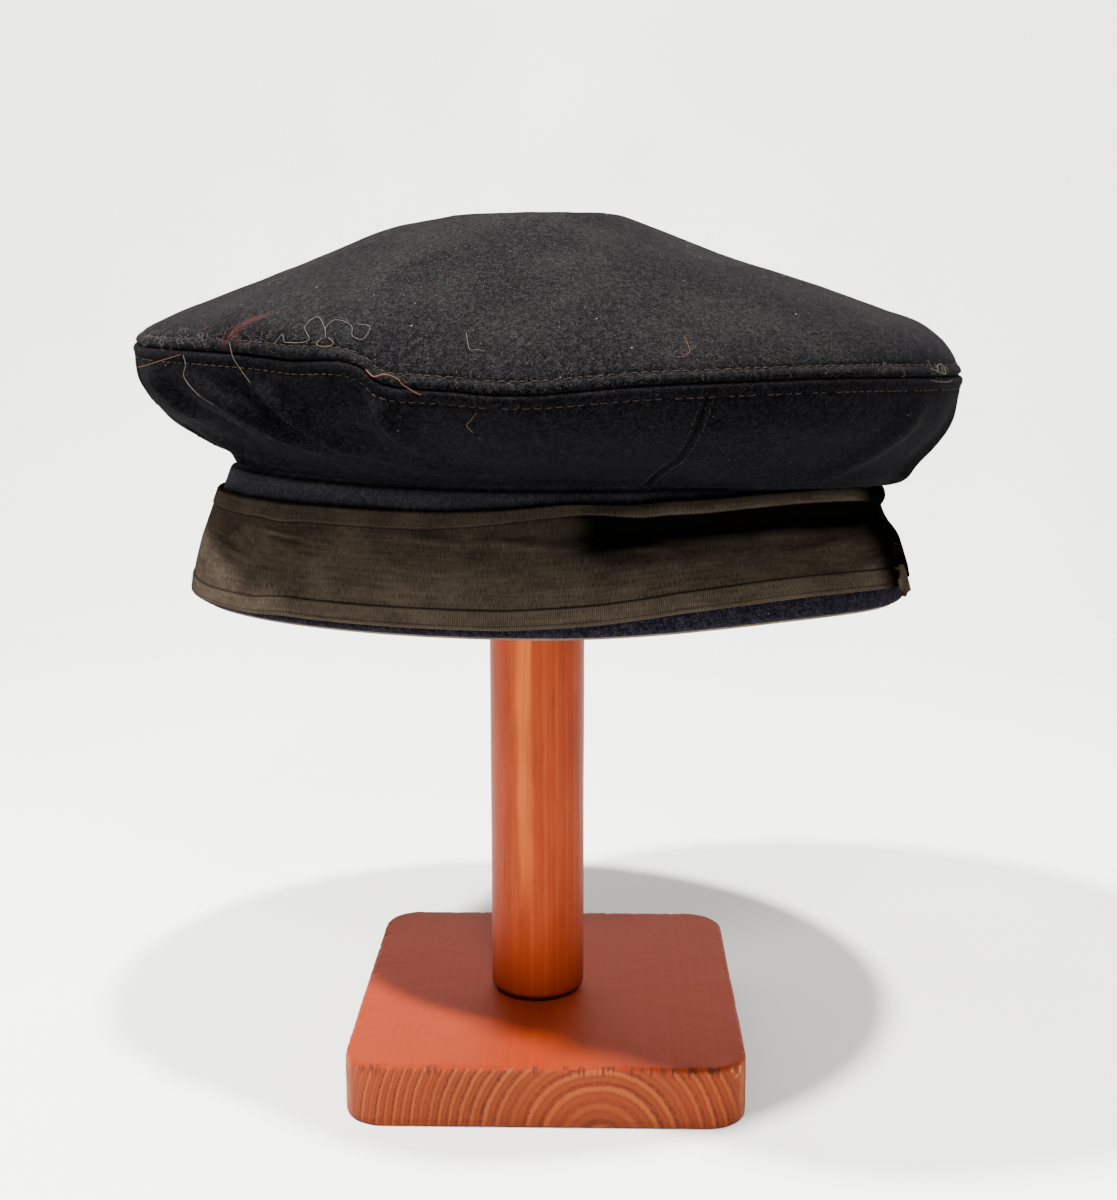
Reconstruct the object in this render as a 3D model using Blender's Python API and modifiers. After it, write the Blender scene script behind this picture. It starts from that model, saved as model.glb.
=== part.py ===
"""A sailor's flat cap of dark wool cloth with a silk ribbon round it, standing on a wooden stand.

The cap is one continuous profile that runs from the middle of the crown, out over the crown seam, down the side
panels to the band and down the band to the hem. Each row of the profile is a closed oval round the cap, and each
piece of cloth is the wall between some of those rows.
Bearings go round the cap from the front, -Y: 90 is the right as seen from the front, +X, and 180 the back.
"""

from collections import namedtuple
import math

import bmesh
import bpy
from mathutils import Vector

Compass = namedtuple("Compass", "front right back left")
CrownRow = namedtuple("CrownRow", "name out drop")
SideRow = namedtuple("SideRow", "name out up")
BandRow = namedtuple("BandRow", "name down flare")
Fold = namedtuple("Fold", "name bearing slant span low high out up")
Finish = namedtuple("Finish", "colour roughness")

# Wooden stand
BASE_SIDE = 0.127
BASE_THICKNESS = 0.020
BASE_CORNER_RADIUS = 0.013
BASE_ARRIS_RADIUS = 0.0015
POST_DIAMETER = 0.0315
POST_LENGTH = 0.2445
POST_CHAMFER = 0.0018
POST_OFFSET = Vector((-0.004, -0.0018, 0.0))
DISC_DIAMETER = 0.050
DISC_THICKNESS = 0.012
DISC_EDGE_RADIUS = 0.003

# Cap, measured over the outside of the cloth
CROWN_WIDTH = 0.2605
CROWN_DEPTH = 0.232
DOME_RISE = 0.0475
SIDE_DROP = 0.0325
BAND_TOP_WIDTH = 0.206
BAND_TOP_DEPTH = 0.110
BAND_HEIGHT = 0.0422
BAND_FLARE = 0.0135
RIBBON_WIDTH = 0.034
RIBBON_ABOVE_HEM = 0.0022
RIBBON_LIFT = 0.0036
RIBBON_LIFT_BEARING = 54.0
RIBBON_LIFT_SPAN = 60.0
SWEATBAND_WIDTH = 0.030
SWEATBAND_BELOW_HEM = 0.0006
PANELS = 4
FIRST_SEAM_BEARING = 20.0

# Cloth and gaps
CLOTH = 0.0020
BAND_CLOTH = 0.0030
RIBBON_CLOTH = 0.0010
LEATHER = 0.0012
CLEARANCE = 0.0003
SEAM_GAP = 0.0005

# Torn end of the ribbon, folded back on itself at the right-hand side
TAIL_BEARING = 76.0
TAIL_WIDTH = 0.009
TAIL_HEIGHT = 0.020
TAIL_ABOVE_HEM = 0.0012
TAIL_CLOTH = 0.0014
RIBBON_END_GAP = 0.003

# How finely the loops and curves are cut
STEPS_ROUND = 80
CURVE_STEPS = 6
ARRIS_STEPS = 3
TURN_STEPS = 40

WOOL = Finish((0.012, 0.012, 0.018, 1.0), 0.95)
RIBBON_SILK = Finish((0.045, 0.036, 0.026, 1.0), 0.6)
TAN_LEATHER = Finish((0.09, 0.045, 0.022, 1.0), 0.6)
STAINED_WOOD = Finish((0.36, 0.12, 0.05, 1.0), 0.42)

# Crown rows: out is the share of the way from the disc's edge to the seam, drop the share of DOME_RISE
CROWN_ROWS = (
    CrownRow("plateau", Compass(0.00, 0.00, 0.00, 0.00), Compass(0.00, 0.00, 0.00, 0.00)),
    CrownRow("shoulder", Compass(0.17, 0.15, 0.18, 0.18), Compass(0.10, 0.13, 0.11, 0.075)),
    CrownRow("high_slope", Compass(0.36, 0.35, 0.36, 0.36), Compass(0.24, 0.29, 0.25, 0.22)),
    CrownRow("middle", Compass(0.59, 0.57, 0.56, 0.55), Compass(0.43, 0.445, 0.42, 0.38)),
    CrownRow("low_slope", Compass(0.79, 0.76, 0.78, 0.75), Compass(0.63, 0.595, 0.62, 0.53)),
    CrownRow("turn", Compass(0.93, 0.90, 0.92, 0.89), Compass(0.82, 0.73, 0.79, 0.645)),
    CrownRow("edge", Compass(0.98, 0.965, 0.975, 0.97), Compass(0.93, 0.87, 0.90, 0.73)),
    CrownRow("seam", Compass(1.00, 1.00, 1.00, 1.00), Compass(1.00, 1.02, 0.98, 0.80)),
)

# Side rows: out is the share of the overhang past the band's top, up the share of SIDE_DROP above it
SIDE_ROWS = (
    SideRow("below_seam", Compass(0.985, 0.99, 0.98, 0.99), Compass(0.88, 0.86, 0.88, 1.02)),
    SideRow("upper", Compass(0.90, 0.92, 0.90, 0.89), Compass(0.68, 0.62, 0.68, 0.80)),
    SideRow("middle", Compass(0.66, 0.74, 0.66, 0.68), Compass(0.44, 0.35, 0.44, 0.55)),
    SideRow("lower", Compass(0.38, 0.56, 0.40, 0.37), Compass(0.23, 0.13, 0.22, 0.32)),
    SideRow("roll_out", Compass(0.20, 0.46, 0.24, 0.13), Compass(0.11, -0.03, 0.09, 0.17)),
    SideRow("roll_under", Compass(0.11, 0.32, 0.14, 0.05), Compass(0.05, -0.10, 0.02, 0.11)),
    SideRow("roll_in", Compass(0.05, 0.13, 0.06, 0.01), Compass(0.025, -0.08, 0.01, 0.06)),
    SideRow("tuck", Compass(0.00, 0.00, 0.00, 0.00), Compass(0.00, 0.00, 0.00, 0.00)),
)

# Band rows: down is the share of BAND_HEIGHT below the band's top, flare the share of BAND_FLARE
BAND_ROWS = (
    BandRow("band_top", Compass(0.00, 0.00, 0.00, 0.00), 0.00),
    BandRow("under_border", Compass(0.32, 0.32, 0.32, 0.32), 0.46),
    BandRow("valley", Compass(0.50, 0.50, 0.50, 0.50), 0.68),
    BandRow("belly", Compass(0.74, 0.75, 0.74, 0.73), 0.88),
    BandRow("hem", Compass(1.00, 0.985, 1.00, 0.96), 1.00),
)

# Folds: each reaches from the low to the high level, where 0 is the plateau, 1 the crown seam, 2 the band's
# top and 3 the hem, and its bearing shifts by the slant on the way. out and up are shares of DOME_RISE.
FOLDS = (
    Fold("dent", -37.0, 0.0, 18.0, 0.40, 1.70, -0.24, 0.06),
    Fold("dent_lip", -25.0, 4.0, 6.5, 0.75, 1.35, 0.02, 0.06),
    Fold("front_swag", -8.0, 0.0, 11.0, 0.75, 1.30, 0.02, -0.05),
    Fold("right_lift", 36.0, 0.0, 22.0, 0.60, 1.40, 0.00, 0.04),
    Fold("upper_crease", -62.0, 36.0, 5.0, 1.05, 1.95, 0.07, 0.02),
    Fold("lower_crease", -52.0, 38.0, 5.0, 1.05, 1.95, 0.09, 0.02),
    Fold("front_crease", -22.0, 6.0, 4.0, 1.05, 1.75, 0.06, 0.00),
    Fold("left_valley", -80.0, 20.0, 6.0, 1.20, 2.00, -0.06, 0.00),
    Fold("band_valley", 42.0, 0.0, 20.0, 2.10, 2.82, -0.095, 0.00),
    Fold("band_crease", -58.0, 0.0, 9.0, 2.15, 2.80, -0.03, 0.00),
)

CAP_GROUP = "sailor_cap_on_stand"


def around(compass, angle):
    """The value at this angle, blended smoothly between the four sides."""
    ahead = math.cos(angle)
    aside = math.sin(angle)
    ends = compass.front if ahead > 0 else compass.back
    sides = compass.right if aside > 0 else compass.left
    return ends * ahead * ahead + sides * aside * aside


def outward(angle, half_width, half_depth):
    return Vector((math.sin(angle) * half_width, -math.cos(angle) * half_depth, 0.0))


def bump(distance):
    """1 at distance 0, falling smoothly to 0 at distance 1."""
    if abs(distance) >= 1.0:
        return 0.0
    return (1.0 + math.cos(math.pi * distance)) / 2.0


def folded(point, angle, level):
    """The point moved by every fold that reaches this angle and level."""
    moved = point.copy()
    for fold in FOLDS:
        reach = fold.high - fold.low
        along = (level - fold.low) / reach
        bearing = math.radians(fold.bearing + fold.slant * along)
        turn = math.remainder(angle - bearing, 2 * math.pi)
        share = bump(turn / (2 * math.radians(fold.span))) * bump(2 * along - 1)
        moved += outward(angle, 1.0, 1.0) * fold.out * share * DOME_RISE
        moved.z += fold.up * share * DOME_RISE
    return moved


disc_top = BASE_THICKNESS + POST_LENGTH + DISC_THICKNESS + 2 * CLEARANCE
crown_top = disc_top + CLEARANCE + CLOTH
band_top = crown_top - DOME_RISE - SIDE_DROP
plateau_radius = DISC_DIAMETER / 2 + CLOTH


def crown_point(angle, row, level):
    out = around(row.out, angle)
    centre = POST_OFFSET * (1.0 - out)
    half_width = plateau_radius + out * (CROWN_WIDTH / 2 - plateau_radius)
    half_depth = plateau_radius + out * (CROWN_DEPTH / 2 - plateau_radius)
    point = centre + outward(angle, half_width, half_depth)
    point.z = crown_top - around(row.drop, angle) * DOME_RISE
    return folded(point, angle, level)


def side_point(angle, row, level):
    out = around(row.out, angle)
    half_width = (BAND_TOP_WIDTH + out * (CROWN_WIDTH - BAND_TOP_WIDTH)) / 2
    half_depth = (BAND_TOP_DEPTH + out * (CROWN_DEPTH - BAND_TOP_DEPTH)) / 2
    point = outward(angle, half_width, half_depth)
    point.z = band_top + around(row.up, angle) * SIDE_DROP
    return folded(point, angle, level)


def band_point(angle, row, level):
    half_width = BAND_TOP_WIDTH / 2 + row.flare * BAND_FLARE
    half_depth = BAND_TOP_DEPTH / 2 + row.flare * BAND_FLARE
    point = outward(angle, half_width, half_depth)
    point.z = band_top - around(row.down, angle) * BAND_HEIGHT
    return folded(point, angle, level)


def band_profile(angle):
    return [
        band_point(angle, row, 2.0 + number / (len(BAND_ROWS) - 1))
        for number, row in enumerate(BAND_ROWS)
    ]


def cap_profile(angle):
    """The outside of the cap at this angle, from the plateau to the hem."""
    crown = [
        crown_point(angle, row, number / (len(CROWN_ROWS) - 1))
        for number, row in enumerate(CROWN_ROWS)
    ]
    side = [
        side_point(angle, row, 1.0 + (number + 1) / len(SIDE_ROWS))
        for number, row in enumerate(SIDE_ROWS)
    ]
    return crown + side + band_profile(angle)[1:]


SEAM = len(CROWN_ROWS) - 1
TUCK = SEAM + len(SIDE_ROWS)
HEM = TUCK + len(BAND_ROWS) - 1
SLIGHT_TURN = math.radians(0.5)
LEAST_MITRE = 0.6
BEND_MARGIN = 0.003


def wall_directions(profile, angle):
    """For each row the way out of the cloth, lengthened at corners so that a wall keeps its thickness."""
    here = profile(angle)
    ahead = profile(angle + SLIGHT_TURN)
    behind = profile(angle - SLIGHT_TURN)
    round_cap = [(a - b).normalized() for a, b in zip(ahead, behind)]
    normals = []
    for row in range(len(here) - 1):
        along = (here[row + 1] - here[row]).normalized()
        sideways = (round_cap[row] + round_cap[row + 1]).normalized()
        normals.append(along.cross(sideways).normalized())
    directions = [normals[0]]
    for before, after in zip(normals, normals[1:]):
        directions.append((before + after) / max(1.0 + before.dot(after), LEAST_MITRE))
    directions.append(normals[-1])
    return here, directions


def wall_section(angle, first, last, outer, inner, profile=cap_profile):
    """Points from row first to row last, at the outer and inner distance from the cap's outside."""
    points, directions = wall_directions(profile, angle)
    outside = [points[row] + directions[row] * outer for row in range(first, last + 1)]
    inside = [points[row] + directions[row] * inner for row in range(first, last + 1)]
    return outside, inside


def pull_back(section, at_start, gap):
    """The section with one end moved along the cloth by the gap, both faces alike."""
    outside, inside = section
    end, beside = (0, 1) if at_start else (-1, -2)
    step = (outside[beside] - outside[end]).normalized() * gap
    outside[end] = outside[end] + step
    inside[end] = inside[end] + step
    return outside, inside


def slide_along(path, distance):
    """The place on the path of points at this distance from its start, or past its end."""
    for start, end in zip(path, path[1:]):
        length = (end - start).length
        if distance <= length:
            break
        distance -= length
    else:
        distance += length
    return start + (end - start) * (distance / length)


def band_strip(angle, top, bottom, outer, inner, lift=0.0):
    """A strip that follows the band between two distances above its hem, with its bends at the band's own."""
    outside, inside = wall_section(angle, 0, len(BAND_ROWS) - 1, outer, inner, band_profile)
    section = []
    for path in (outside, inside):
        upward = path[::-1]
        below = upward[0] + (upward[0] - upward[1])
        run = (upward[0] - upward[1]).length
        strip = [slide_along([below] + upward, run + top + lift)]
        for row, point in zip(BAND_ROWS, path):
            above_hem = (1.0 - row.down.front) * BAND_HEIGHT
            if bottom + BEND_MARGIN < above_hem < top - BEND_MARGIN:
                strip.append(point)
        strip.append(slide_along([below] + upward, run + bottom + lift))
        section.append(strip)
    return section[0], section[1]


def principled(name, finish):
    material = bpy.data.materials.new(name)
    material.use_nodes = True
    shader = material.node_tree.nodes["Principled BSDF"]
    shader.inputs["Base Color"].default_value = finish.colour
    shader.inputs["Roughness"].default_value = finish.roughness
    return material


def add_object(name, data, material, collection):
    piece = bpy.data.objects.new(name, data)
    piece.data.materials.append(material)
    collection.objects.link(piece)
    return piece


def shell(name, sections, closed, pole, material, collection):
    """A wall lofted through the sections, each an outside and an inside row of points."""
    mesh = bmesh.new()
    outside = [[mesh.verts.new(point) for point in section[0]] for section in sections]
    inside = [[mesh.verts.new(point) for point in section[1]] for section in sections]
    count = len(sections)
    last = len(sections[0][0]) - 1
    for number in range(count if closed else count - 1):
        following = (number + 1) % count
        a, b = outside[number], outside[following]
        c, d = inside[number], inside[following]
        for row in range(last):
            mesh.faces.new((a[row], a[row + 1], b[row + 1], b[row]))
            mesh.faces.new((c[row], d[row], d[row + 1], c[row + 1]))
        if not pole:
            mesh.faces.new((a[0], b[0], d[0], c[0]))
        mesh.faces.new((a[last], c[last], d[last], b[last]))
    if not closed:
        for row in range(last):
            first_out, first_in = outside[0], inside[0]
            mesh.faces.new((first_out[row], first_in[row], first_in[row + 1], first_out[row + 1]))
            end_out, end_in = outside[-1], inside[-1]
            mesh.faces.new((end_out[row], end_out[row + 1], end_in[row + 1], end_in[row]))
    if pole:
        bmesh.ops.remove_doubles(mesh, verts=mesh.verts, dist=CLEARANCE / 30)
    bmesh.ops.recalc_face_normals(mesh, faces=mesh.faces)
    data = bpy.data.meshes.new(name)
    mesh.to_mesh(data)
    mesh.free()
    data.shade_smooth()
    data.set_sharp_from_angle(angle=math.radians(40))
    return add_object(name, data, material, collection)


def angles_round():
    return [2 * math.pi * number / STEPS_ROUND for number in range(STEPS_ROUND)]


def angles_between(start, end):
    """Evenly spaced angles from start to end, about as far apart as those of a whole round."""
    steps = max(3, round((end - start) / (2 * math.pi) * STEPS_ROUND))
    return [start + (end - start) * number / steps for number in range(steps + 1)]


def make_crown_top(wool, collection):
    """The round top piece, from its middle to the crown seam."""
    sections = []
    for angle in angles_round():
        section = wall_section(angle, 0, SEAM, 0.0, -CLOTH)
        outside, inside = pull_back(section, False, SEAM_GAP)
        middle = Vector((POST_OFFSET.x, POST_OFFSET.y, crown_top))
        below = middle - Vector((0.0, 0.0, CLOTH))
        sections.append(([middle] + outside, [below] + inside))
    shell("crown_top", sections, True, True, wool, collection)


def make_side_panels(wool, collection):
    """The panels between the crown seam and the band, parted by the upright seams."""
    half_gap = SEAM_GAP / BAND_TOP_DEPTH
    quarter = 2 * math.pi / PANELS
    for number in range(PANELS):
        start = math.radians(FIRST_SEAM_BEARING) + number * quarter
        end = start + quarter
        sections = []
        for angle in angles_between(start + half_gap, end - half_gap):
            section = wall_section(angle, SEAM, TUCK, 0.0, -CLOTH)
            section = pull_back(section, True, SEAM_GAP)
            sections.append(pull_back(section, False, SEAM_GAP / 2))
        shell(f"side_panel_{number + 1}", sections, False, False, wool, collection)


def make_band(wool, collection):
    sections = []
    for angle in angles_round():
        section = wall_section(angle, TUCK, HEM, 0.0, -BAND_CLOTH)
        sections.append(pull_back(section, True, SEAM_GAP / 2))
    shell("band", sections, True, False, wool, collection)


def make_sweatband(leather, collection):
    inner_face = -(BAND_CLOTH + CLEARANCE)
    sections = [
        band_strip(
            angle,
            SWEATBAND_WIDTH - SWEATBAND_BELOW_HEM,
            -SWEATBAND_BELOW_HEM,
            inner_face,
            inner_face - LEATHER,
        )
        for angle in angles_round()
    ]
    shell("sweatband", sections, True, False, leather, collection)


def ribbon_lift(angle):
    """How far the ribbon has ridden up the band here; it does so a little towards its torn end."""
    turn = math.remainder(angle - math.radians(RIBBON_LIFT_BEARING), 2 * math.pi)
    return RIBBON_LIFT * bump(turn / math.radians(RIBBON_LIFT_SPAN))


def make_ribbon(silk, collection):
    """The hat ribbon, parted under its torn end."""
    half_gap = RIBBON_END_GAP / BAND_TOP_DEPTH
    parting = math.radians(TAIL_BEARING)
    sections = []
    for angle in angles_between(parting + half_gap, parting + 2 * math.pi - half_gap):
        sections.append(
            band_strip(
                angle,
                RIBBON_ABOVE_HEM + RIBBON_WIDTH,
                RIBBON_ABOVE_HEM,
                CLEARANCE + RIBBON_CLOTH,
                CLEARANCE,
                ribbon_lift(angle),
            )
        )
    shell("ribbon", sections, False, False, silk, collection)


def turned(name, profile, steps, material, collection):
    """A round piece turned from its profile, which runs from the top down on the +X side."""
    data = bpy.data.meshes.new(name)
    points = [(radius, 0.0, height) for radius, height in profile]
    data.from_pydata(points, [(i, i + 1) for i in range(len(points) - 1)], [])
    piece = add_object(name, data, material, collection)
    screw = piece.modifiers.new("Turn", "SCREW")
    screw.steps = steps
    screw.render_steps = steps
    screw.use_merge_vertices = True
    screw.merge_threshold = 0.00005
    screw.use_smooth_shade = True
    return piece


def rounded_edge(centre_radius, centre_height, radius, start, end):
    """Points of an arc in a turned profile, between two angles in degrees above the outward way."""
    turns = [start + (end - start) * i / ARRIS_STEPS for i in range(ARRIS_STEPS + 1)]
    return [
        (
            centre_radius + radius * math.cos(math.radians(turn)),
            centre_height + radius * math.sin(math.radians(turn)),
        )
        for turn in turns
    ]


def make_base(wood, collection):
    """The square board with round corners, a filled outline with its arrises rounded over."""
    outline = bpy.data.curves.new("stand_base", "CURVE")
    outline.dimensions = "2D"
    outline.fill_mode = "BOTH"
    outline.extrude = BASE_THICKNESS / 2 - BASE_ARRIS_RADIUS
    outline.bevel_depth = BASE_ARRIS_RADIUS
    outline.bevel_resolution = 1
    outline.offset = -BASE_ARRIS_RADIUS
    reach = BASE_SIDE / 2 - BASE_CORNER_RADIUS
    corners = ((1, 1, 0), (-1, 1, 90), (-1, -1, 180), (1, -1, 270))
    points = []
    for side_x, side_y, start in corners:
        for step in range(CURVE_STEPS + 1):
            turn = math.radians(start + 90 * step / CURVE_STEPS)
            x = side_x * reach + BASE_CORNER_RADIUS * math.cos(turn)
            y = side_y * reach + BASE_CORNER_RADIUS * math.sin(turn)
            points.append((x, y))
    spline = outline.splines.new("POLY")
    spline.points.add(len(points) - 1)
    for point, (x, y) in zip(spline.points, points):
        point.co = (x, y, 0.0, 1.0)
    spline.use_cyclic_u = True
    base = add_object("stand_base", outline, wood, collection)
    base.location.z = BASE_THICKNESS / 2
    return base


def make_post(wood, collection):
    radius = POST_DIAMETER / 2
    profile = [
        (0.0, POST_LENGTH),
        (radius - POST_CHAMFER, POST_LENGTH),
        (radius, POST_LENGTH - POST_CHAMFER),
        (radius, POST_CHAMFER),
        (radius - POST_CHAMFER, 0.0),
        (0.0, 0.0),
    ]
    post = turned("stand_post", profile, TURN_STEPS, wood, collection)
    post.location = POST_OFFSET + Vector((0.0, 0.0, BASE_THICKNESS + CLEARANCE))


def make_disc(wood, collection):
    """The hidden disc on the post, which carries the crown."""
    edge = DISC_DIAMETER / 2 - DISC_EDGE_RADIUS
    profile = [(0.0, DISC_THICKNESS)]
    profile += rounded_edge(edge, DISC_THICKNESS - DISC_EDGE_RADIUS, DISC_EDGE_RADIUS, 90, 0)
    profile += rounded_edge(edge, DISC_EDGE_RADIUS, DISC_EDGE_RADIUS, 0, -90)
    profile.append((0.0, 0.0))
    disc = turned("stand_disc", profile, TURN_STEPS, wood, collection)
    disc.location = POST_OFFSET + Vector((0.0, 0.0, disc_top - DISC_THICKNESS))


def make_ribbon_tail(silk, collection):
    """The torn end of the ribbon, a folded strip that lies over the place where the ribbon parts."""
    middle = math.radians(TAIL_BEARING)
    half_width = TAIL_WIDTH / BAND_TOP_DEPTH
    inner = CLEARANCE + RIBBON_CLOTH + CLEARANCE
    sections = [
        band_strip(
            angle,
            TAIL_ABOVE_HEM + TAIL_HEIGHT,
            TAIL_ABOVE_HEM,
            inner + TAIL_CLOTH,
            inner,
        )
        for angle in angles_between(middle - half_width, middle + half_width)
    ]
    shell("ribbon_tail", sections, False, False, silk, collection)


def build():
    for piece in list(bpy.data.objects):
        bpy.data.objects.remove(piece)
    collection = bpy.data.collections.new(CAP_GROUP)
    bpy.context.scene.collection.children.link(collection)
    wool = principled("wool", WOOL)
    silk = principled("ribbon_silk", RIBBON_SILK)
    leather = principled("leather", TAN_LEATHER)
    wood = principled("stained_wood", STAINED_WOOD)
    make_base(wood, collection)
    make_post(wood, collection)
    make_disc(wood, collection)
    make_crown_top(wool, collection)
    make_side_panels(wool, collection)
    make_band(wool, collection)
    make_sweatband(leather, collection)
    make_ribbon(silk, collection)
    make_ribbon_tail(silk, collection)


build()
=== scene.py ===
# %% [markdown]
# # A sailor's flat cap of dark wool, on a wooden stand
#
# The frame holds the measured solids of the cap and its stand. This lesson dresses them: the wool gets its folds,
# rolled seams, topstitching and fluff, the ribbon its ribbed borders and torn end, and the wood its growth rings.

import math
import random
from collections import namedtuple

import bpy
import numpy as np
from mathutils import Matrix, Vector, noise


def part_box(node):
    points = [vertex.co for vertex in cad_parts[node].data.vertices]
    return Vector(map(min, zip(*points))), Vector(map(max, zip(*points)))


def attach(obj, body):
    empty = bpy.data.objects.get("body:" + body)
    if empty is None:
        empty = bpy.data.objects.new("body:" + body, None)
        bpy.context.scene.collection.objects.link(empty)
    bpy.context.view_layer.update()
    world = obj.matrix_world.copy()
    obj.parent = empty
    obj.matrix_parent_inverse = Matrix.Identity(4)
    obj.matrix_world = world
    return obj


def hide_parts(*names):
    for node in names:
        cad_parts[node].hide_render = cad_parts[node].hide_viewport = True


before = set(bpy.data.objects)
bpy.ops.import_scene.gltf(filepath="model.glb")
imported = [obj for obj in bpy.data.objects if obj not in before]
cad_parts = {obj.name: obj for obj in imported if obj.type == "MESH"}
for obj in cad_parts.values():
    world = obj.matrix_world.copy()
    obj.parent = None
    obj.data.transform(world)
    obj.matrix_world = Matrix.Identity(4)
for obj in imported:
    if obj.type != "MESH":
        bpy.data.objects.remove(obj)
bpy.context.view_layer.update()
print("nodes:", ", ".join(sorted(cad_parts)))

# %% [markdown]
# ## The camera
#
# The camera was found by least squares from the corners of the stand's square base and the edges of its post. It
# stands half a metre away, a little above the crown's seam, and looks down by eleven degrees. The film side of
# 36 mm lies along the picture's height, so the lens follows from the focal length in picture heights.

# %% Place the camera
PICTURE_HEIGHT = 1200
FOCAL_LENGTH_PIXELS = 1586.4
FILM_SIDE = 36.0
CAMERA_PLACE = Vector((0.0140, -0.5171, 0.2560))
CAMERA_PITCH = 0.1921
CAMERA_YAW = -0.0211

camera_data = bpy.data.cameras.new("camera")
camera_data.lens = FOCAL_LENGTH_PIXELS * FILM_SIDE / PICTURE_HEIGHT
camera_data.sensor_width = FILM_SIDE
camera = bpy.data.objects.new("camera", camera_data)
camera.location = CAMERA_PLACE
camera.rotation_euler = (math.pi / 2 - CAMERA_PITCH, 0.0, -CAMERA_YAW)
bpy.context.scene.collection.objects.link(camera)
bpy.context.scene.camera = camera
print(f"lens {camera_data.lens:.1f} mm")

# %% [markdown]
# ## Helpers for shader nodes
#
# Every material here is made of nodes. A small class keeps that short: it holds one output of a node, and sums,
# products and smooth steps of such values add the nodes that work them out, so a formula is written as one.

# %% Values in a node tree
class Value:
    """One output of a node. Arithmetic with it adds Math nodes to its tree."""

    def __init__(self, socket):
        self.socket = socket
        self.tree = socket.id_data

    def output(self, name):
        """Another output of the same node."""
        return Value(self.socket.node.outputs[name])

    def __add__(self, other):
        return maths("ADD", self, other)

    def __sub__(self, other):
        return maths("SUBTRACT", self, other)

    def __rsub__(self, other):
        return maths("SUBTRACT", other, self)

    def __mul__(self, other):
        return maths("MULTIPLY", self, other)

    def __abs__(self):
        return maths("ABSOLUTE", self)

    def step(self, low, high):
        """0 below low and 1 above high, smooth between; falling instead where low is the greater."""
        return add_node(self.tree, "MapRange", {"Value": self, "From Min": low, "From Max": high},
                        interpolation_type="SMOOTHSTEP")

    def noise(self, scale, detail=2.0, roughness=0.5):
        """Noise from 0 to 1 at this place; scale is in features a metre."""
        return add_node(self.tree, "TexNoise",
                        {"Vector": self, "Scale": scale, "Detail": detail, "Roughness": roughness})

    def stretched(self, x, y, z):
        """This place scaled differently along each axis, in features a metre."""
        return add_node(self.tree, "Mapping", {"Vector": self, "Scale": (x, y, z)})

    def parts(self):
        """The X, Y and Z of this place."""
        x = add_node(self.tree, "SeparateXYZ", {"Vector": self})
        return x, x.output("Y"), x.output("Z")


def tree_of(values):
    """The node tree that these values are in; plain numbers and colours among them are in none."""
    return next(value.tree for value in values if isinstance(value, Value))


def feed(socket, value):
    """Link a value to a socket, or set the socket to a number, a place or an RGB colour."""
    if isinstance(value, Value):
        value.tree.links.new(value.socket, socket)
    else:
        socket.default_value = (*value, 1.0) if socket.type == "RGBA" else value


def add_node(tree, kind, inputs=None, output=0, **settings):
    """One output of a new node, whose settings are made before its inputs are fed."""
    made = tree.nodes.new("ShaderNode" + kind)
    for name, value in settings.items():
        setattr(made, name, value)
    for name, value in (inputs or {}).items():
        feed(made.inputs[name], value)
    return Value(made.outputs[output])


def maths(operation, *values, clamp=False):
    return add_node(tree_of(values), "Math", dict(enumerate(values)), operation=operation, use_clamp=clamp)


def vector_maths(operation, *values, output="Vector"):
    return add_node(tree_of(values), "VectorMath", dict(enumerate(values)), output, operation=operation)


def mix(factor, first, second):
    """A colour between two others, each a value or an RGB triple."""
    inputs = {0: factor, 6: first, 7: second}
    return add_node(tree_of(inputs.values()), "Mix", inputs, 2, data_type="RGBA")


print("values ready")

# %% Groups and materials
def new_group(name, **inputs):
    """The inputs, as values, of a new node group; each is named with its kind of socket."""
    tree = bpy.data.node_groups.new(name, "ShaderNodeTree")
    for socket_name, kind in inputs.items():
        tree.interface.new_socket(socket_name, in_out="INPUT", socket_type="NodeSocket" + kind)
    given = tree.nodes.new("NodeGroupInput")
    return [Value(given.outputs[socket_name]) for socket_name in inputs]


def finish_group(**outputs):
    """The node group of these values, which gives them out under their names."""
    tree = tree_of(outputs.values())
    for name, value in outputs.items():
        kind = "Color" if value.socket.type == "RGBA" else "Float"
        tree.interface.new_socket(name, in_out="OUTPUT", socket_type="NodeSocket" + kind)
    given_out = tree.nodes.new("NodeGroupOutput")
    for name, value in outputs.items():
        feed(given_out.inputs[name], value)
    return tree


def use_group(group, **inputs):
    """The first output of a group placed in the tree of its inputs."""
    return add_node(tree_of(inputs.values()), "Group", inputs, node_tree=group)


def new_material(name, **values):
    """A material, its tree and its Principled shader, with the constant inputs set on the shader itself."""
    material = bpy.data.materials.new(name)
    material.use_nodes = True
    shader = material.node_tree.nodes["Principled BSDF"]
    for socket, value in values.items():
        shader.inputs[socket.replace("_", " ")].default_value = value
    return material, material.node_tree, shader


def paint(shader, colour, height=None, distance=0.0, strength=1.0):
    """Feed a shader's colour, and its normal with a bump where there is a height."""
    feed(shader.inputs["Base Color"], colour)
    if height:
        bump = add_node(colour.tree, "Bump", {"Height": height, "Distance": distance, "Strength": strength})
        feed(shader.inputs["Normal"], bump)


def place_in_metres(tree):
    return add_node(tree, "TexCoord", output="Object")


def cloth_map(tree):
    """The place on a piece's own map, in metres: X along the cloth and Y across it."""
    return add_node(tree, "UVMap", uv_map="cloth")


print("node helpers ready")

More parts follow.
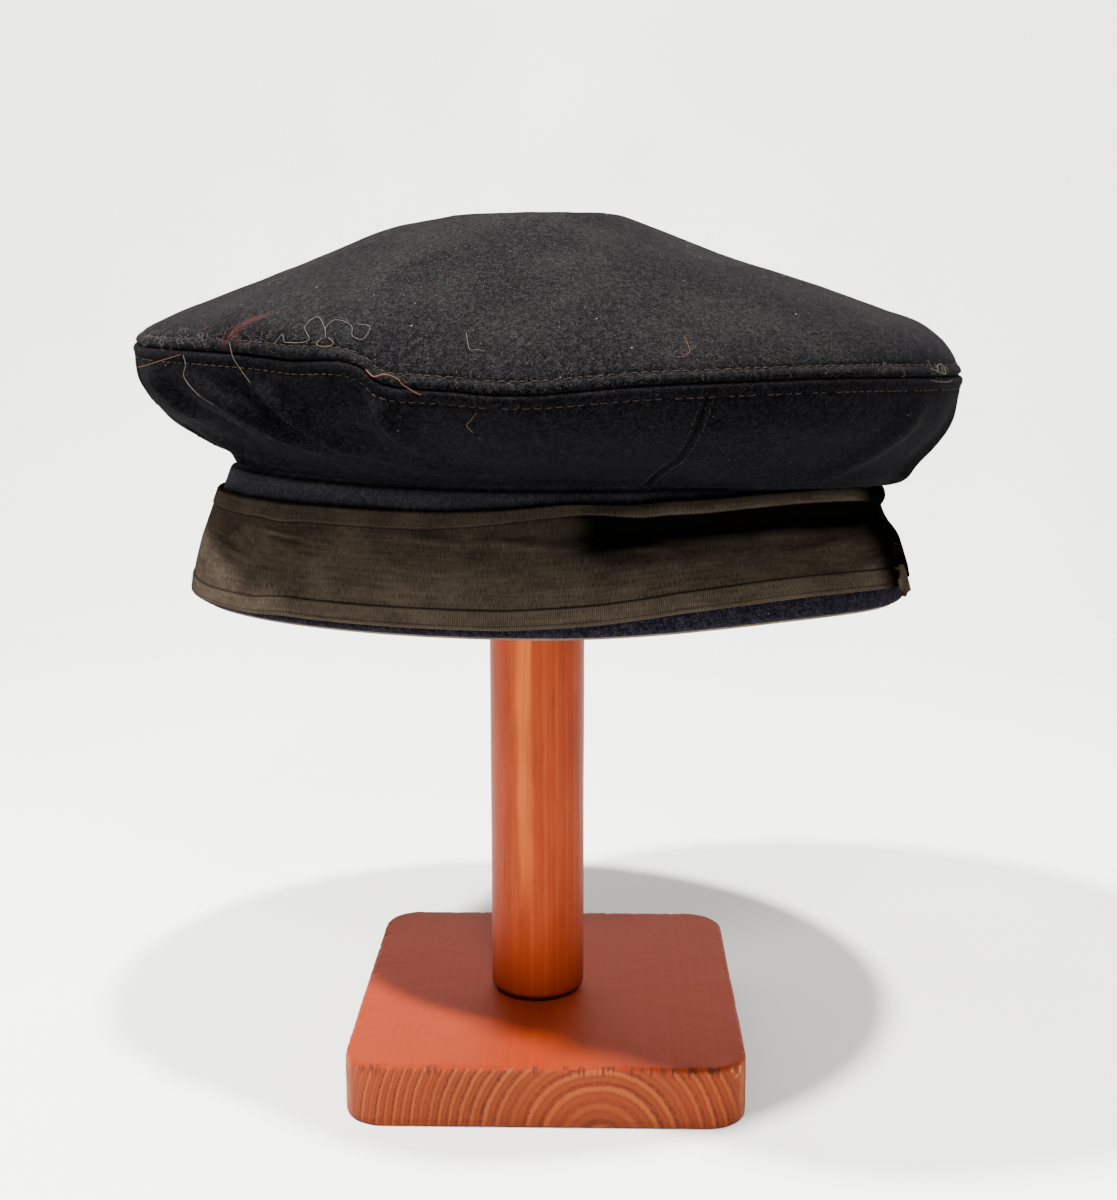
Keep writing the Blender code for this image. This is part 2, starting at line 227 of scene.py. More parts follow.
# %% [markdown]
# ## The shape of the cap
#
# The solids follow rows of points that run round the cap: the crown from its flat middle to the seam, the side
# from the seam to the tuck above the band, and the band down to its hem. The same rows are used here, with a
# smooth curve through them, so that the fine cloth lies where the solids are. Bearings go round from the front,
# -Y, and 90 is the right, +X. Levels count the seams: 0 is the crown's middle, 1 the crown seam, 2 the tuck and
# 3 the hem.

# %% Named sizes of the cap
CROWN_WIDTH = 0.2605
CROWN_DEPTH = 0.232
DOME_RISE = 0.0475
SIDE_DROP = 0.0325
BAND_TOP_WIDTH = 0.206
BAND_TOP_DEPTH = 0.110
BAND_HEIGHT = 0.0422
BAND_FLARE = 0.0135
RIBBON_WIDTH = 0.034
RIBBON_ABOVE_HEM = 0.0022
RIBBON_LIFT = ((-6, 0.0), (8, 1.5), (20, 3.3), (34, 3.9), (44, 4.1), (56, 3.9), (66, 3.6), (78, 2.9), (90, 2.0),
               (104, 1.2), (125, 0.0))
HEM_RISE = 0.0021
HEM_RISE_BEARING = 40.0
HEM_RISE_SPAN = 40.0
TAIL_BEARING = 76.0
PANELS = 4
FIRST_SEAM_BEARING = 20.0
PLATEAU_RADIUS = 0.027
WOOL = 0.0020
BAND_WOOL = 0.0030
SILK = 0.0008
LEATHER = 0.0012
CLEARANCE = 0.0003

post_low, post_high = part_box("stand_post")
base_low, base_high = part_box("stand_base")
POST_CENTRE = Vector(((post_low.x + post_high.x) / 2, (post_low.y + post_high.y) / 2, 0.0))
CROWN_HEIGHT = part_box("crown_top")[1].z
TUCK_HEIGHT = CROWN_HEIGHT - DOME_RISE - SIDE_DROP
print(f"crown at {CROWN_HEIGHT * 1000:.1f} mm, tuck at {TUCK_HEIGHT * 1000:.1f} mm")

# %% Rows and folds
Compass = namedtuple("Compass", "front right back left")
Row = namedtuple("Row", "name out height")
BandRow = namedtuple("BandRow", "name down flare")
Fold = namedtuple("Fold", "name bearing slant span low high out up")

CROWN_ROWS = (
    Row("plateau", Compass(0.00, 0.00, 0.00, 0.00), Compass(0.00, 0.00, 0.00, 0.00)),
    Row("shoulder", Compass(0.17, 0.15, 0.18, 0.18), Compass(0.10, 0.13, 0.11, 0.075)),
    Row("high_slope", Compass(0.36, 0.35, 0.36, 0.36), Compass(0.24, 0.29, 0.25, 0.22)),
    Row("middle", Compass(0.59, 0.57, 0.56, 0.55), Compass(0.43, 0.445, 0.42, 0.38)),
    Row("low_slope", Compass(0.79, 0.76, 0.78, 0.75), Compass(0.63, 0.595, 0.62, 0.53)),
    Row("turn", Compass(0.93, 0.90, 0.92, 0.89), Compass(0.82, 0.73, 0.79, 0.645)),
    Row("edge", Compass(0.98, 0.965, 0.975, 0.97), Compass(0.93, 0.87, 0.90, 0.73)),
    Row("seam", Compass(1.00, 1.00, 1.00, 1.00), Compass(1.00, 1.02, 0.98, 0.80)),
)
SIDE_ROWS = (
    Row("below_seam", Compass(0.985, 0.99, 0.98, 0.99), Compass(0.88, 0.86, 0.88, 1.02)),
    Row("upper", Compass(0.90, 0.92, 0.90, 0.89), Compass(0.68, 0.62, 0.68, 0.80)),
    Row("middle", Compass(0.63, 0.74, 0.66, 0.68), Compass(0.44, 0.35, 0.44, 0.60)),
    Row("lower", Compass(0.32, 0.56, 0.40, 0.37), Compass(0.23, 0.13, 0.22, 0.39)),
    Row("roll_out", Compass(0.12, 0.46, 0.24, 0.13), Compass(0.10, -0.03, 0.09, 0.25)),
    Row("roll_under", Compass(0.06, 0.32, 0.14, 0.05), Compass(0.045, -0.10, 0.02, 0.195)),
    Row("roll_in", Compass(0.02, 0.13, 0.06, 0.01), Compass(0.02, -0.08, 0.01, 0.15)),
    Row("tuck", Compass(0.00, 0.00, 0.00, 0.00), Compass(0.00, 0.00, 0.00, 0.09)),
)
BAND_ROWS = (
    BandRow("band_top", Compass(0.00, 0.00, 0.00, -0.069), 0.00),
    BandRow("under_border", Compass(0.32, 0.32, 0.32, 0.32), 0.46),
    BandRow("valley", Compass(0.50, 0.50, 0.50, 0.50), 0.68),
    BandRow("belly", Compass(0.74, 0.75, 0.74, 0.73), 0.88),
    BandRow("hem", Compass(1.00, 0.960, 1.00, 0.96), 1.00),
)
FOLDS = (
    Fold("dent", -37.0, 0.0, 18.0, 0.40, 1.70, -0.24, 0.06),
    Fold("dent_lip", -25.0, 4.0, 6.5, 0.75, 1.35, 0.02, 0.06),
    Fold("front_swag", -8.0, 0.0, 11.0, 0.75, 1.30, 0.02, -0.05),
    Fold("right_lift", 36.0, 0.0, 22.0, 0.60, 1.40, 0.00, 0.04),
    Fold("upper_crease", -62.0, 36.0, 5.0, 1.05, 1.95, 0.07, 0.02),
    Fold("lower_crease", -52.0, 38.0, 5.0, 1.05, 1.95, 0.09, 0.02),
    Fold("front_crease", -22.0, 6.0, 4.0, 1.05, 1.75, 0.06, 0.00),
    Fold("left_valley", -80.0, 20.0, 6.0, 1.20, 2.00, -0.06, 0.00),
    Fold("band_valley", 42.0, 0.0, 20.0, 2.10, 2.82, -0.095, 0.00),
    Fold("band_crease", -58.0, 0.0, 9.0, 2.15, 2.80, -0.03, 0.00),
)
print(len(CROWN_ROWS) + len(SIDE_ROWS) + len(BAND_ROWS) - 1, "rows,", len(FOLDS), "folds")

# %% Values round the cap
FULL_TURN = 2 * math.pi


def around(compass, angles):
    """The value at each angle, blended smoothly between the four sides."""
    ahead = np.cos(angles)
    aside = np.sin(angles)
    ends = np.where(ahead > 0, compass.front, compass.back)
    sides = np.where(aside > 0, compass.right, compass.left)
    return ends * ahead**2 + sides * aside**2


def hump(distance):
    """1 at distance 0, falling smoothly to 0 at distance 1."""
    return np.where(np.abs(distance) < 1, (1 + np.cos(np.pi * np.clip(distance, -1, 1))) / 2, 0.0)


def outward(angles, half_width, half_depth):
    """Level vectors from the cap's axis to an oval of these half sizes, at each angle."""
    return np.stack([np.sin(angles) * half_width, -np.cos(angles) * half_depth, 0 * angles], axis=-1)


def turn_from(angles, bearing):
    """How far each angle lies past a bearing in degrees, the short way round, in radians."""
    return np.remainder(angles - math.radians(bearing) + math.pi, FULL_TURN) - math.pi


def folded(points, angles, level):
    """A row of points, moved by every fold that reaches its level."""
    moved = points.copy()
    for fold in FOLDS:
        along = (level - fold.low) / (fold.high - fold.low)
        turn = turn_from(angles, fold.bearing + fold.slant * along)
        share = hump(turn / (2 * math.radians(fold.span))) * hump(2 * along - 1) * DOME_RISE
        moved += outward(angles, 1.0, 1.0) * (fold.out * share)[:, None]
        moved[:, 2] += fold.up * share
    return moved


print("rows are blended between front, right, back and left")

# %% Rows of points round the cap
def crown_rows(angles):
    """The rows of the crown, from its flat middle out to the seam."""
    rows = []
    for number, row in enumerate(CROWN_ROWS):
        out = around(row.out, angles)
        half_width = PLATEAU_RADIUS + out * (CROWN_WIDTH / 2 - PLATEAU_RADIUS)
        half_depth = PLATEAU_RADIUS + out * (CROWN_DEPTH / 2 - PLATEAU_RADIUS)
        points = outward(angles, half_width, half_depth) + np.outer(1 - out, POST_CENTRE)
        points[:, 2] = CROWN_HEIGHT - around(row.height, angles) * DOME_RISE
        rows.append(folded(points, angles, number / (len(CROWN_ROWS) - 1)))
    return np.array(rows)


def side_rows(angles):
    """The rows of the side, from the crown seam down to the tuck."""
    rows = [crown_rows(angles)[-1]]
    for number, row in enumerate(SIDE_ROWS):
        out = around(row.out, angles)
        half_width = (BAND_TOP_WIDTH + out * (CROWN_WIDTH - BAND_TOP_WIDTH)) / 2
        half_depth = (BAND_TOP_DEPTH + out * (CROWN_DEPTH - BAND_TOP_DEPTH)) / 2
        points = outward(angles, half_width, half_depth)
        points[:, 2] = TUCK_HEIGHT + around(row.height, angles) * SIDE_DROP
        rows.append(folded(points, angles, 1 + (number + 1) / len(SIDE_ROWS)))
    return np.array(rows)


def band_rows(angles):
    """The rows of the band, from the tuck down to the hem, which rises a little right of the front."""
    rows = []
    rise = HEM_RISE * hump(turn_from(angles, HEM_RISE_BEARING) / math.radians(HEM_RISE_SPAN))
    for number, row in enumerate(BAND_ROWS):
        half_width = BAND_TOP_WIDTH / 2 + row.flare * BAND_FLARE
        half_depth = BAND_TOP_DEPTH / 2 + row.flare * BAND_FLARE
        points = outward(angles, half_width, half_depth)
        points[:, 2] = TUCK_HEIGHT - around(row.down, angles) * (BAND_HEIGHT - rise)
        rows.append(folded(points, angles, 2 + number / (len(BAND_ROWS) - 1)))
    return np.array(rows)


print("profile through", len(CROWN_ROWS), "crown,", len(SIDE_ROWS) + 1, "side and", len(BAND_ROWS), "band rows")

# %% Smooth curve through rows
def smooth_rows(rows, shares):
    """Points at these shares of the way along a smooth curve through the rows, for every angle at once."""
    steps = np.linalg.norm(np.diff(rows, axis=0), axis=2).mean(axis=1)
    knots = np.concatenate([[0.0], np.cumsum(steps)]) / steps.sum()
    rates = np.diff(rows, axis=0) / np.diff(knots)[:, None, None]
    slopes = np.empty_like(rows)
    slopes[0] = rates[0]
    slopes[-1] = rates[-1]
    for number in range(1, len(rows) - 1):
        before = knots[number] - knots[number - 1]
        after = knots[number + 1] - knots[number]
        slopes[number] = (rates[number - 1] * after + rates[number] * before) / (before + after)
    made = []
    for share in shares:
        number = min(int(np.searchsorted(knots, share, side="right")) - 1, len(rows) - 2)
        run = knots[number + 1] - knots[number]
        t = (share - knots[number]) / run
        made.append(
            rows[number] * (1 + 2 * t) * (1 - t) ** 2
            + slopes[number] * run * t * (1 - t) ** 2
            + rows[number + 1] * t**2 * (3 - 2 * t)
            + slopes[number + 1] * run * t**2 * (t - 1)
        )
    return np.array(made), np.interp(shares, knots, np.linspace(0, 1, len(rows)))


print("curve ready")

# %% [markdown]
# ## From points to cloth
#
# A grid of points, one line a row and one place a column, becomes a mesh. The helpers below find which way is out
# of the cloth, place points at chosen distances along it, and close a grid into a wall with an inner face, so that
# every piece of cloth has its real thickness and a rim.

# %% Places along a cloth
ROUND_SAMPLES = 1440


def round_angles(count):
    """Even angles once round the cap, from the back."""
    return np.linspace(-math.pi, math.pi, count, endpoint=False)


DENSE_ANGLES = round_angles(ROUND_SAMPLES)
DENSE_SHARES = np.linspace(0, 1, 161)


def unit(vectors):
    """Vectors of length 1 that point the same way."""
    return vectors / (np.linalg.norm(vectors, axis=-1, keepdims=True) + 1e-12)


def distances_down(points):
    """How far each point lies along a line, or down the columns of a grid, from the first one."""
    steps = np.linalg.norm(np.diff(points, axis=0), axis=-1)
    return np.concatenate([0 * steps[:1], np.cumsum(steps, axis=0)])


def grid_normals(grid, closed):
    """The way out of the cloth at every point of a grid whose rows run down and whose columns run round."""
    across = np.roll(grid, -1, axis=1) - np.roll(grid, 1, axis=1) if closed else np.gradient(grid, axis=1)
    return unit(np.cross(np.gradient(grid, axis=0), across))


print(ROUND_SAMPLES, "places round the cap")

# %% Values at other places
def interpolate(wanted, knots, values, **options):
    """np.interp, for a line of numbers or a line of points."""
    if values.ndim == 1:
        return np.interp(wanted, knots, values, **options)
    return np.stack([np.interp(wanted, knots, values[:, axis], **options) for axis in range(3)], axis=-1)


def resample_down(values, lengths, wanted):
    """Values at the wanted lengths down each column."""
    return np.stack([interpolate(wanted[:, column], lengths[:, column], values[:, column])
                     for column in range(values.shape[1])], axis=1)


def resample_round(values, angles):
    """Values of a dense grid at other angles, which are the same for all its rows or given row by row."""
    angles = np.broadcast_to(angles, (len(values), angles.shape[-1]))
    return np.stack([interpolate(row_angles, DENSE_ANGLES, row, period=FULL_TURN)
                     for row_angles, row in zip(angles, values)])


def spread(length, near_start, near_end, count):
    """Distances along a length: fixed ones near the start and the end, and even ones between."""
    start = near_start[-1]
    end = near_end[-1] if near_end else 0.0
    middle = np.linspace(0, 1, count + 2)[1:-1]
    between = start + (length - start - end) * middle[:, None]
    first = np.array(near_start)[:, None] + 0 * length
    last = length - np.array(near_end[::-1])[:, None]
    return np.concatenate([first, between, last])


def place_rows(dense, levels, near_start, near_end, count):
    """The dense grid resampled down each column, its levels and its distances from the first row."""
    lengths = distances_down(dense)
    wanted = spread(lengths[-1], near_start, near_end, count)
    level_grid = np.broadcast_to(levels[:, None], lengths.shape)
    return resample_down(dense, lengths, wanted), resample_down(level_grid, lengths, wanted), wanted


print("resampling ready")

# %% From a grid to a mesh
def grid_faces(rows, columns, closed, start=0):
    """Quads between neighbouring points of a grid, wound to face out."""
    row = np.arange(rows - 1)[:, None] * columns
    column = np.arange(columns if closed else columns - 1)[None, :]
    beside = (column + 1) % columns
    corners = (row + column, row + columns + column, row + columns + beside, row + beside)
    return np.stack(np.broadcast_arrays(*corners), axis=-1).reshape(-1, 4) + start


def capped_faces(rows, columns):
    """The quads of a closed tube of points, and one face over each of its ends."""
    corners = list(range(rows * columns))
    return grid_faces(rows, columns, True).tolist() + [corners[:columns][::-1], corners[-columns:]]


def add_object(name, points, faces, material):
    """A smooth mesh object from points and faces."""
    mesh = bpy.data.meshes.new(name)
    mesh.from_pydata(np.asarray(points).reshape(-1, 3).tolist(), [], [list(map(int, face)) for face in faces])
    mesh.polygons.foreach_set("use_smooth", [True] * len(mesh.polygons))
    mesh.materials.append(material)
    made = bpy.data.objects.new(name, mesh)
    bpy.context.scene.collection.objects.link(made)
    return made


def add_mesh(name, points, faces, material):
    """A mesh object that rides on the cap's one body."""
    piece = add_object(name, points, faces, material)
    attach(piece, "root")
    return piece


def set_map(piece, across, down):
    """A UV map in metres along the cloth, from one pair of values for each point of the mesh."""
    mesh = piece.data
    layer = mesh.uv_layers.new(name="cloth")
    corners = np.empty(len(mesh.loops), dtype=np.int32)
    mesh.loops.foreach_get("vertex_index", corners)
    values = np.stack([across[corners], down[corners]], axis=-1)
    layer.data.foreach_set("uv", values.ravel().astype(np.float32))


print("mesh helpers ready")

# %% Walls of cloth
def edge_strip(edge, back):
    """Faces between two lines of points of different counts, with the same ends."""
    faces = []
    here = 0
    for number in range(len(edge) - 1):
        share = (number + 1) / (len(edge) - 1)
        target = min(int(round(share * (len(back) - 1))), len(back) - 1)
        if target > here:
            for step in range(here, target - 1):
                faces.append([edge[number], back[step], back[step + 1]])
            faces.append([edge[number], back[target - 1], back[target], edge[number + 1]])
            here = target
        else:
            faces.append([edge[number], back[here], edge[number + 1]])
    return faces


def wall_between(name, outer, inner, closed, material):
    """A closed wall of cloth between an outer and an inner grid of the same columns."""
    rows, columns = outer.shape[:2]
    offset = rows * columns
    column = np.arange(columns if closed else columns - 1)
    beside = (column + 1) % columns
    last = (rows - 1) * columns
    inner_last = offset + (inner.shape[0] - 1) * columns
    parts = [
        grid_faces(rows, columns, closed),
        grid_faces(inner.shape[0], columns, closed, offset)[:, ::-1],
        np.stack([column, beside, offset + beside, offset + column], axis=-1),
        np.stack([last + column, inner_last + column, inner_last + beside, last + beside], axis=-1),
    ]
    faces = [face for part in parts for face in part.tolist()]
    if not closed:
        for end in (0, columns - 1):
            edge = [row * columns + end for row in range(rows)]
            back = [offset + row * columns + end for row in range(inner.shape[0])]
            rim = edge_strip(edge, back)
            faces.extend(rim if end == 0 else [face[::-1] for face in rim])
    return add_mesh(name, np.concatenate([outer.reshape(-1, 3), inner.reshape(-1, 3)]), faces, material)


print("wall helper ready")

# %% Waves, steps and bells
def waves(grid, size, seed):
    """Soft random waves from -1 to 1 at every point of a grid."""
    shift = Vector((seed * 1.7, seed * 0.9, seed * 2.3))
    values = [noise.noise(Vector(point) / size + shift) for point in grid.reshape(-1, 3)]
    return np.array(values).reshape(grid.shape[:2])


def step_up(value, low, high):
    """0 below low and 1 above high, smooth between."""
    share = np.clip((value - low) / (high - low), 0, 1)
    return share * share * (3 - 2 * share)


def bell(distance, width):
    """1 at distance 0, falling off as a bell curve of this width."""
    return np.exp(-((distance / width) ** 2))


print("relief helpers ready")

# %% [markdown]
# ## Creases
#
# Besides the large folds that the solids have, the side panels hang in soft creases. Each is a ridge along a
# straight line on the cloth, from one bearing and level to another. Its cross-section is a bell curve, and it
# fades out at both ends.

# %% Creases in the wool
Crease = namedtuple("Crease", "bearing level to_bearing to_level width height")
CREASES = (
    Crease(-55.0, 1.12, -32.0, 1.49, 0.0023, 0.0030),
    Crease(-42.0, 1.15, -26.5, 1.44, 0.0023, 0.0034),
    Crease(-31.0, 1.38, -6.0, 1.53, 0.0028, 0.0026),
    Crease(-20.6, 1.03, -16.0, 1.40, 0.0023, 0.0034),
    Crease(-24.8, 1.06, -24.0, 1.42, 0.0046, -0.0034),
    Crease(-47.0, 1.14, -31.0, 1.46, 0.0027, -0.0026),
    Crease(-61.0, 1.14, -46.0, 1.50, 0.0032, -0.0018),
    Crease(-65.0, 1.08, -57.0, 1.36, 0.0026, 0.0019),
    Crease(-64.0, 1.46, -42.0, 1.66, 0.0026, 0.0026),
    Crease(-82.0, 1.30, -62.0, 1.62, 0.0032, 0.0020),
    Crease(10.0, 1.30, 44.0, 1.62, 0.0050, 0.0014),
    Crease(58.0, 1.16, 44.0, 1.60, 0.0045, 0.0017),
    Crease(78.0, 1.20, 70.0, 1.70, 0.0045, 0.0020),
    Crease(108.0, 1.15, 126.0, 1.60, 0.0045, 0.0022),
    Crease(150.0, 1.10, 140.0, 1.55, 0.0050, 0.0020),
    Crease(186.0, 1.15, 204.0, 1.60, 0.0045, 0.0020),
    Crease(236.0, 1.12, 224.0, 1.60, 0.0045, 0.0024),
    Crease(262.0, 1.15, 256.0, 1.62, 0.0040, 0.0020),
)
CLOTH_A_RADIAN = 0.105
CLOTH_A_LEVEL = 0.058


def crease_heights(angles, levels, creases):
    """How far every crease together lifts the cloth, for grids of angles and levels."""
    total = np.zeros(np.broadcast(angles, levels).shape)
    for crease in creases:
        across = turn_from(angles, crease.bearing) * CLOTH_A_RADIAN
        down = (levels - crease.level) * CLOTH_A_LEVEL
        run = math.radians(crease.to_bearing - crease.bearing) * CLOTH_A_RADIAN
        fall = (crease.to_level - crease.level) * CLOTH_A_LEVEL
        length = math.hypot(run, fall)
        along = (across * run + down * fall) / length**2
        aside = (across * fall - down * run) / length
        fade = hump(np.clip(np.abs(2 * along - 1) - 0.35, 0, None) / 0.9)
        total += crease.height * bell(aside, crease.width) * fade
    return total


print(len(CREASES), "creases")

# %% [markdown]
# ## The seams
#
# Each panel is sewn edge to edge with the next and topstitched on both sides. The cloth rolls down into a narrow
# groove at the seam, swells beside it over the folded allowance, and is pulled in again where the topstitching
# holds it. All of that is one function of the distance from the seam along the cloth.

# %% Cross-section beside a seam
GROOVE_DEPTH = 0.0012
GROOVE_WIDTH = 0.00060
SWELL = 0.00030
STITCH_PULL = 0.00035
STITCH_PULL_WIDTH = 0.0006
TOPSTITCH_FROM_SEAM = 0.0038


def seam_relief(distance, stitch_distance=TOPSTITCH_FROM_SEAM, depth=GROOVE_DEPTH):
    """How far the cloth stands out, negative for in, at a distance from a seam."""
    swell = SWELL * bell(distance - stitch_distance * 0.5, stitch_distance * 0.35)
    pull = STITCH_PULL * bell(distance - stitch_distance, STITCH_PULL_WIDTH)
    return swell - pull - depth * bell(distance, GROOVE_WIDTH)


print(f"groove {GROOVE_DEPTH * 1000:.1f} mm deep")

# %% [markdown]
# ## Felted wool
#
# The cloth is melton, a thick navy wool that is milled until no weave shows. From near, dark and lighter fibres
# mix, and short ones stand up and catch the light. A node group mixes two shades by fine noise, adds specks of lint
# in a few colours, and gives the fibre height for the bump. Dust is a group of its own, as it settles only on what
# faces up. The soft light at the edge of the cloth is the shader's sheen, set on the shader itself.

# %% Wool and dust groups
LINT_SPECKS = (
    (330.0, 0.11, 0.93, (0.22, 0.20, 0.18), 0.8),
    (300.0, 0.12, 0.88, (0.045, 0.018, 0.014), 0.6),
    (900.0, 0.26, 0.72, (0.030, 0.026, 0.026), 0.8),
)


def wool_group():
    place, dark, light, lint = new_group("felted_wool", Place="Vector", Dark="Color", Light="Color", Lint="Float")
    mixed = place.noise(2300.0, 3.0, 0.62) * 0.65 + place.noise(700.0, 3.0, 0.6) * 0.35
    colour = mix(mixed.step(0.43, 0.63), dark, light)
    broad = place.noise(55.0, 3.0, 0.55)
    colour = mix(broad.step(0.25, 0.75), mix(0.22, colour, (0.0, 0.0, 0.0)), colour)
    for scale, size, chosen, tint, strength in LINT_SPECKS:
        away = add_node(place.tree, "TexVoronoi", {"Vector": place, "Scale": scale}, "Distance")
        number = add_node(place.tree, "SeparateColor", {"Color": away.output("Color")})
        spot = away.step(size, size * 0.4) * maths("GREATER_THAN", number, chosen)
        colour = mix(spot * (lint * strength), colour, tint)
    return finish_group(Colour=colour, Height=mixed)


def dust_group():
    place, upward, amount, colour, dust = new_group("settled_dust", Place="Vector", Upward="Float", Amount="Float",
                                                    Colour="Color", Dust="Color")
    patches = place.noise(38.0, 4.0, 0.6).step(0.38, 0.72)
    grains = place.noise(1500.0).step(0.42, 0.70)
    mask = upward.step(0.15, 0.95) * (patches * 0.6 + 0.4) * (grains * 0.7 + 0.3) * amount
    return finish_group(Colour=mix(mask, colour, dust))


FELTED_WOOL = wool_group()
SETTLED_DUST = dust_group()
print("groups:", FELTED_WOOL.name, SETTLED_DUST.name)

# %% Wool material
# The crown, side and band are one wool. Their shades differ as painted light and shade: the side is darker and the
# band lighter than the crown, to match how light falls on each.
CROWN_SHADES = ((0.0006, 0.0006, 0.0007), (0.0088, 0.0086, 0.0095))
SIDE_SHADES = ((0.0007, 0.0007, 0.0009), (0.0052, 0.0051, 0.0059))
BAND_SHADES = ((0.0030, 0.0028, 0.0046), (0.0185, 0.0170, 0.0240))
# Painted light: above these heights the band's wool takes the strip's lighter shades, where the side's overhang shades
# the band.
PAINTED_LIGHT_STRIP_SHADES = ((0.0190, 0.0182, 0.0230), (0.0420, 0.0400, 0.0480))
STRIP_FROM = 0.178
STRIP_TO = 0.188
WOOL_DUST = (0.027, 0.0235, 0.0225)
STAIN = (0.050, 0.0115, 0.0105)
STAIN_CENTRE = (-0.0812, -0.0733, 0.2455)
STAIN_REACH = 0.0090
STAIN_BREADTH = 0.0012
STAIN_COSINE, STAIN_SINE = 0.99, 0.13


def wool_material(name, lint, dust, shades, stained=False, strip=None):
    """Wool of two shades, with a red stain on it, or painted light above a height, in a strip's lighter shades."""
    material, tree, shader = new_material(
        name, Roughness=0.95, Specular_IOR_Level=0.01, Sheen_Weight=0.006, Sheen_Roughness=0.45,
        Sheen_Tint=(0.62, 0.64, 0.78, 1.0),
    )
    place = place_in_metres(tree)
    dark, light = shades
    # Painted light: the band is lighter above STRIP_FROM, standing in for light on the strip shaded by the side's
    # overhang.
    if strip:
        painted_light_mask = place.parts()[2].step(STRIP_FROM, STRIP_TO)
        dark, light = (mix(painted_light_mask, shade, worn) for shade, worn in zip(shades, strip))
    wool = use_group(FELTED_WOOL, Place=place, Dark=dark, Light=light, Lint=lint)
    colour = wool
    if stained:
        x, y, _ = vector_maths("SUBTRACT", place, STAIN_CENTRE).parts()
        along = maths("DIVIDE", x * STAIN_COSINE - y * STAIN_SINE, STAIN_REACH)
        across = maths("DIVIDE", y * STAIN_COSINE + x * STAIN_SINE, STAIN_BREADTH)
        rough = maths("POWER", along, 2.0) + maths("POWER", across, 2.0) + place.noise(700.0, 4.0, 0.65) * 2.6
        colour = mix(rough.step(2.6, 1.0) * 0.30, colour, STAIN)
    upward = add_node(tree, "NewGeometry", output="Normal").parts()[2]
    dusty = use_group(SETTLED_DUST, Place=place, Upward=upward, Colour=colour, Amount=dust, Dust=WOOL_DUST)
    paint(shader, dusty, wool.output("Height"), 0.00045, 0.9)
    return material


crown_wool = wool_material("crown_wool", 0.75, 0.30, CROWN_SHADES, stained=True)
side_wool = wool_material("side_wool", 0.30, 0.16, SIDE_SHADES)
band_wool = wool_material("band_wool", 0.25, 0.15, BAND_SHADES, strip=PAINTED_LIGHT_STRIP_SHADES)
print("wool:", crown_wool.name, side_wool.name, band_wool.name)

# %% [markdown]
# ## The crown
#
# The crown of a flat cap is one round of cloth as wide as a plate, wired or stiffened at its edge. Here a disc on
# the post carries its middle, and it slopes from there to the seam. Rows of points run from the seam inwards,
# close together beside the seam, where the cloth rolls into the groove and one row lies just under the stitching.

# %% Crown cloth
SIDE_STITCH_ROW = 9
NEAR_SEAM = (0.00008, 0.0004, 0.0008, 0.0013, 0.0018, 0.0024, 0.0029, 0.0033, 0.0036, 0.0038, 0.0041, 0.0046, 0.0054,
             0.0064)
CROWN_COLUMNS = 760
CENTRE_ROWS = 24
SEAM_LEAN = -4.4
KINK = ((-23.5, 0.0), (-21.5, -0.6), (-20.0, -2.6), (-18.0, -2.4), (-16.0, -1.4), (-14.5, -0.5), (-12.0, 0.6),
        (-9.5, 1.0), (-5.0, 0.6), (1.0, 0.0))


def kinked(grid, reach):
    """The grid with the seam's sharp step at the left of the front, in millimetres by bearing."""
    bearings, rises = zip(*KINK)
    rise = np.interp(np.degrees(DENSE_ANGLES), bearings, rises) * 0.001
    for _ in range(6):
        rise = (np.roll(rise, 1) + 2 * rise + np.roll(rise, -1)) / 4
    made = grid.copy()
    made[:, :, 2] += rise[None, :] * hump(distances_down(grid) / reach)
    return made


crown_dense, crown_levels = smooth_rows(crown_rows(DENSE_ANGLES), DENSE_SHARES)
middle = np.array([POST_CENTRE.x, POST_CENTRE.y, CROWN_HEIGHT])
inside = np.linspace(0.02, 0.98, CENTRE_ROWS)[:, None, None]
centre_rows = middle + (crown_dense[0] - middle)[None, :, :] * inside
crown_dense = kinked(np.concatenate([centre_rows, crown_dense])[::-1], 0.016)
crown_levels = np.concatenate([np.zeros(CENTRE_ROWS), crown_levels])[::-1]
side_dense, side_levels = smooth_rows(side_rows(DENSE_ANGLES), DENSE_SHARES)
side_dense = kinked(side_dense, 0.024)
side_levels = 1 + side_levels

seam_line = crown_dense[0]
round_seam = np.roll(seam_line, -1, axis=0) - np.roll(seam_line, 1, axis=0)
seam_out = unit(np.cross(round_seam, np.array([0.0, 0.0, 1.0])))
print(f"seam {distances_down(seam_line)[-1] * 1000:.0f} mm round")

CROWN_ANGLES = round_angles(CROWN_COLUMNS)
crown_grid, crown_level, crown_distance = (
    resample_round(values, CROWN_ANGLES) for values in place_rows(crown_dense, crown_levels, NEAR_SEAM, (), 74))
crown_normals = -grid_normals(crown_grid, True)
crown_seam_out = resample_round(seam_out[None], CROWN_ANGLES)

# %% Relief of the crown
CROWN_CREASES = (
    Crease(-33.0, 0.78, -22.0, 0.95, 0.0070, -0.0014),
    Crease(-58.0, 0.62, -36.0, 0.70, 0.0090, 0.0010),
    Crease(-12.0, 0.55, 6.0, 0.72, 0.0120, -0.0006),
    Crease(40.0, 0.70, 70.0, 0.80, 0.0100, 0.0007),
)
SEAM_ROLL = 0.0022
LARGE_WAVE = 0.00050
SMALL_WAVE = 0.00014


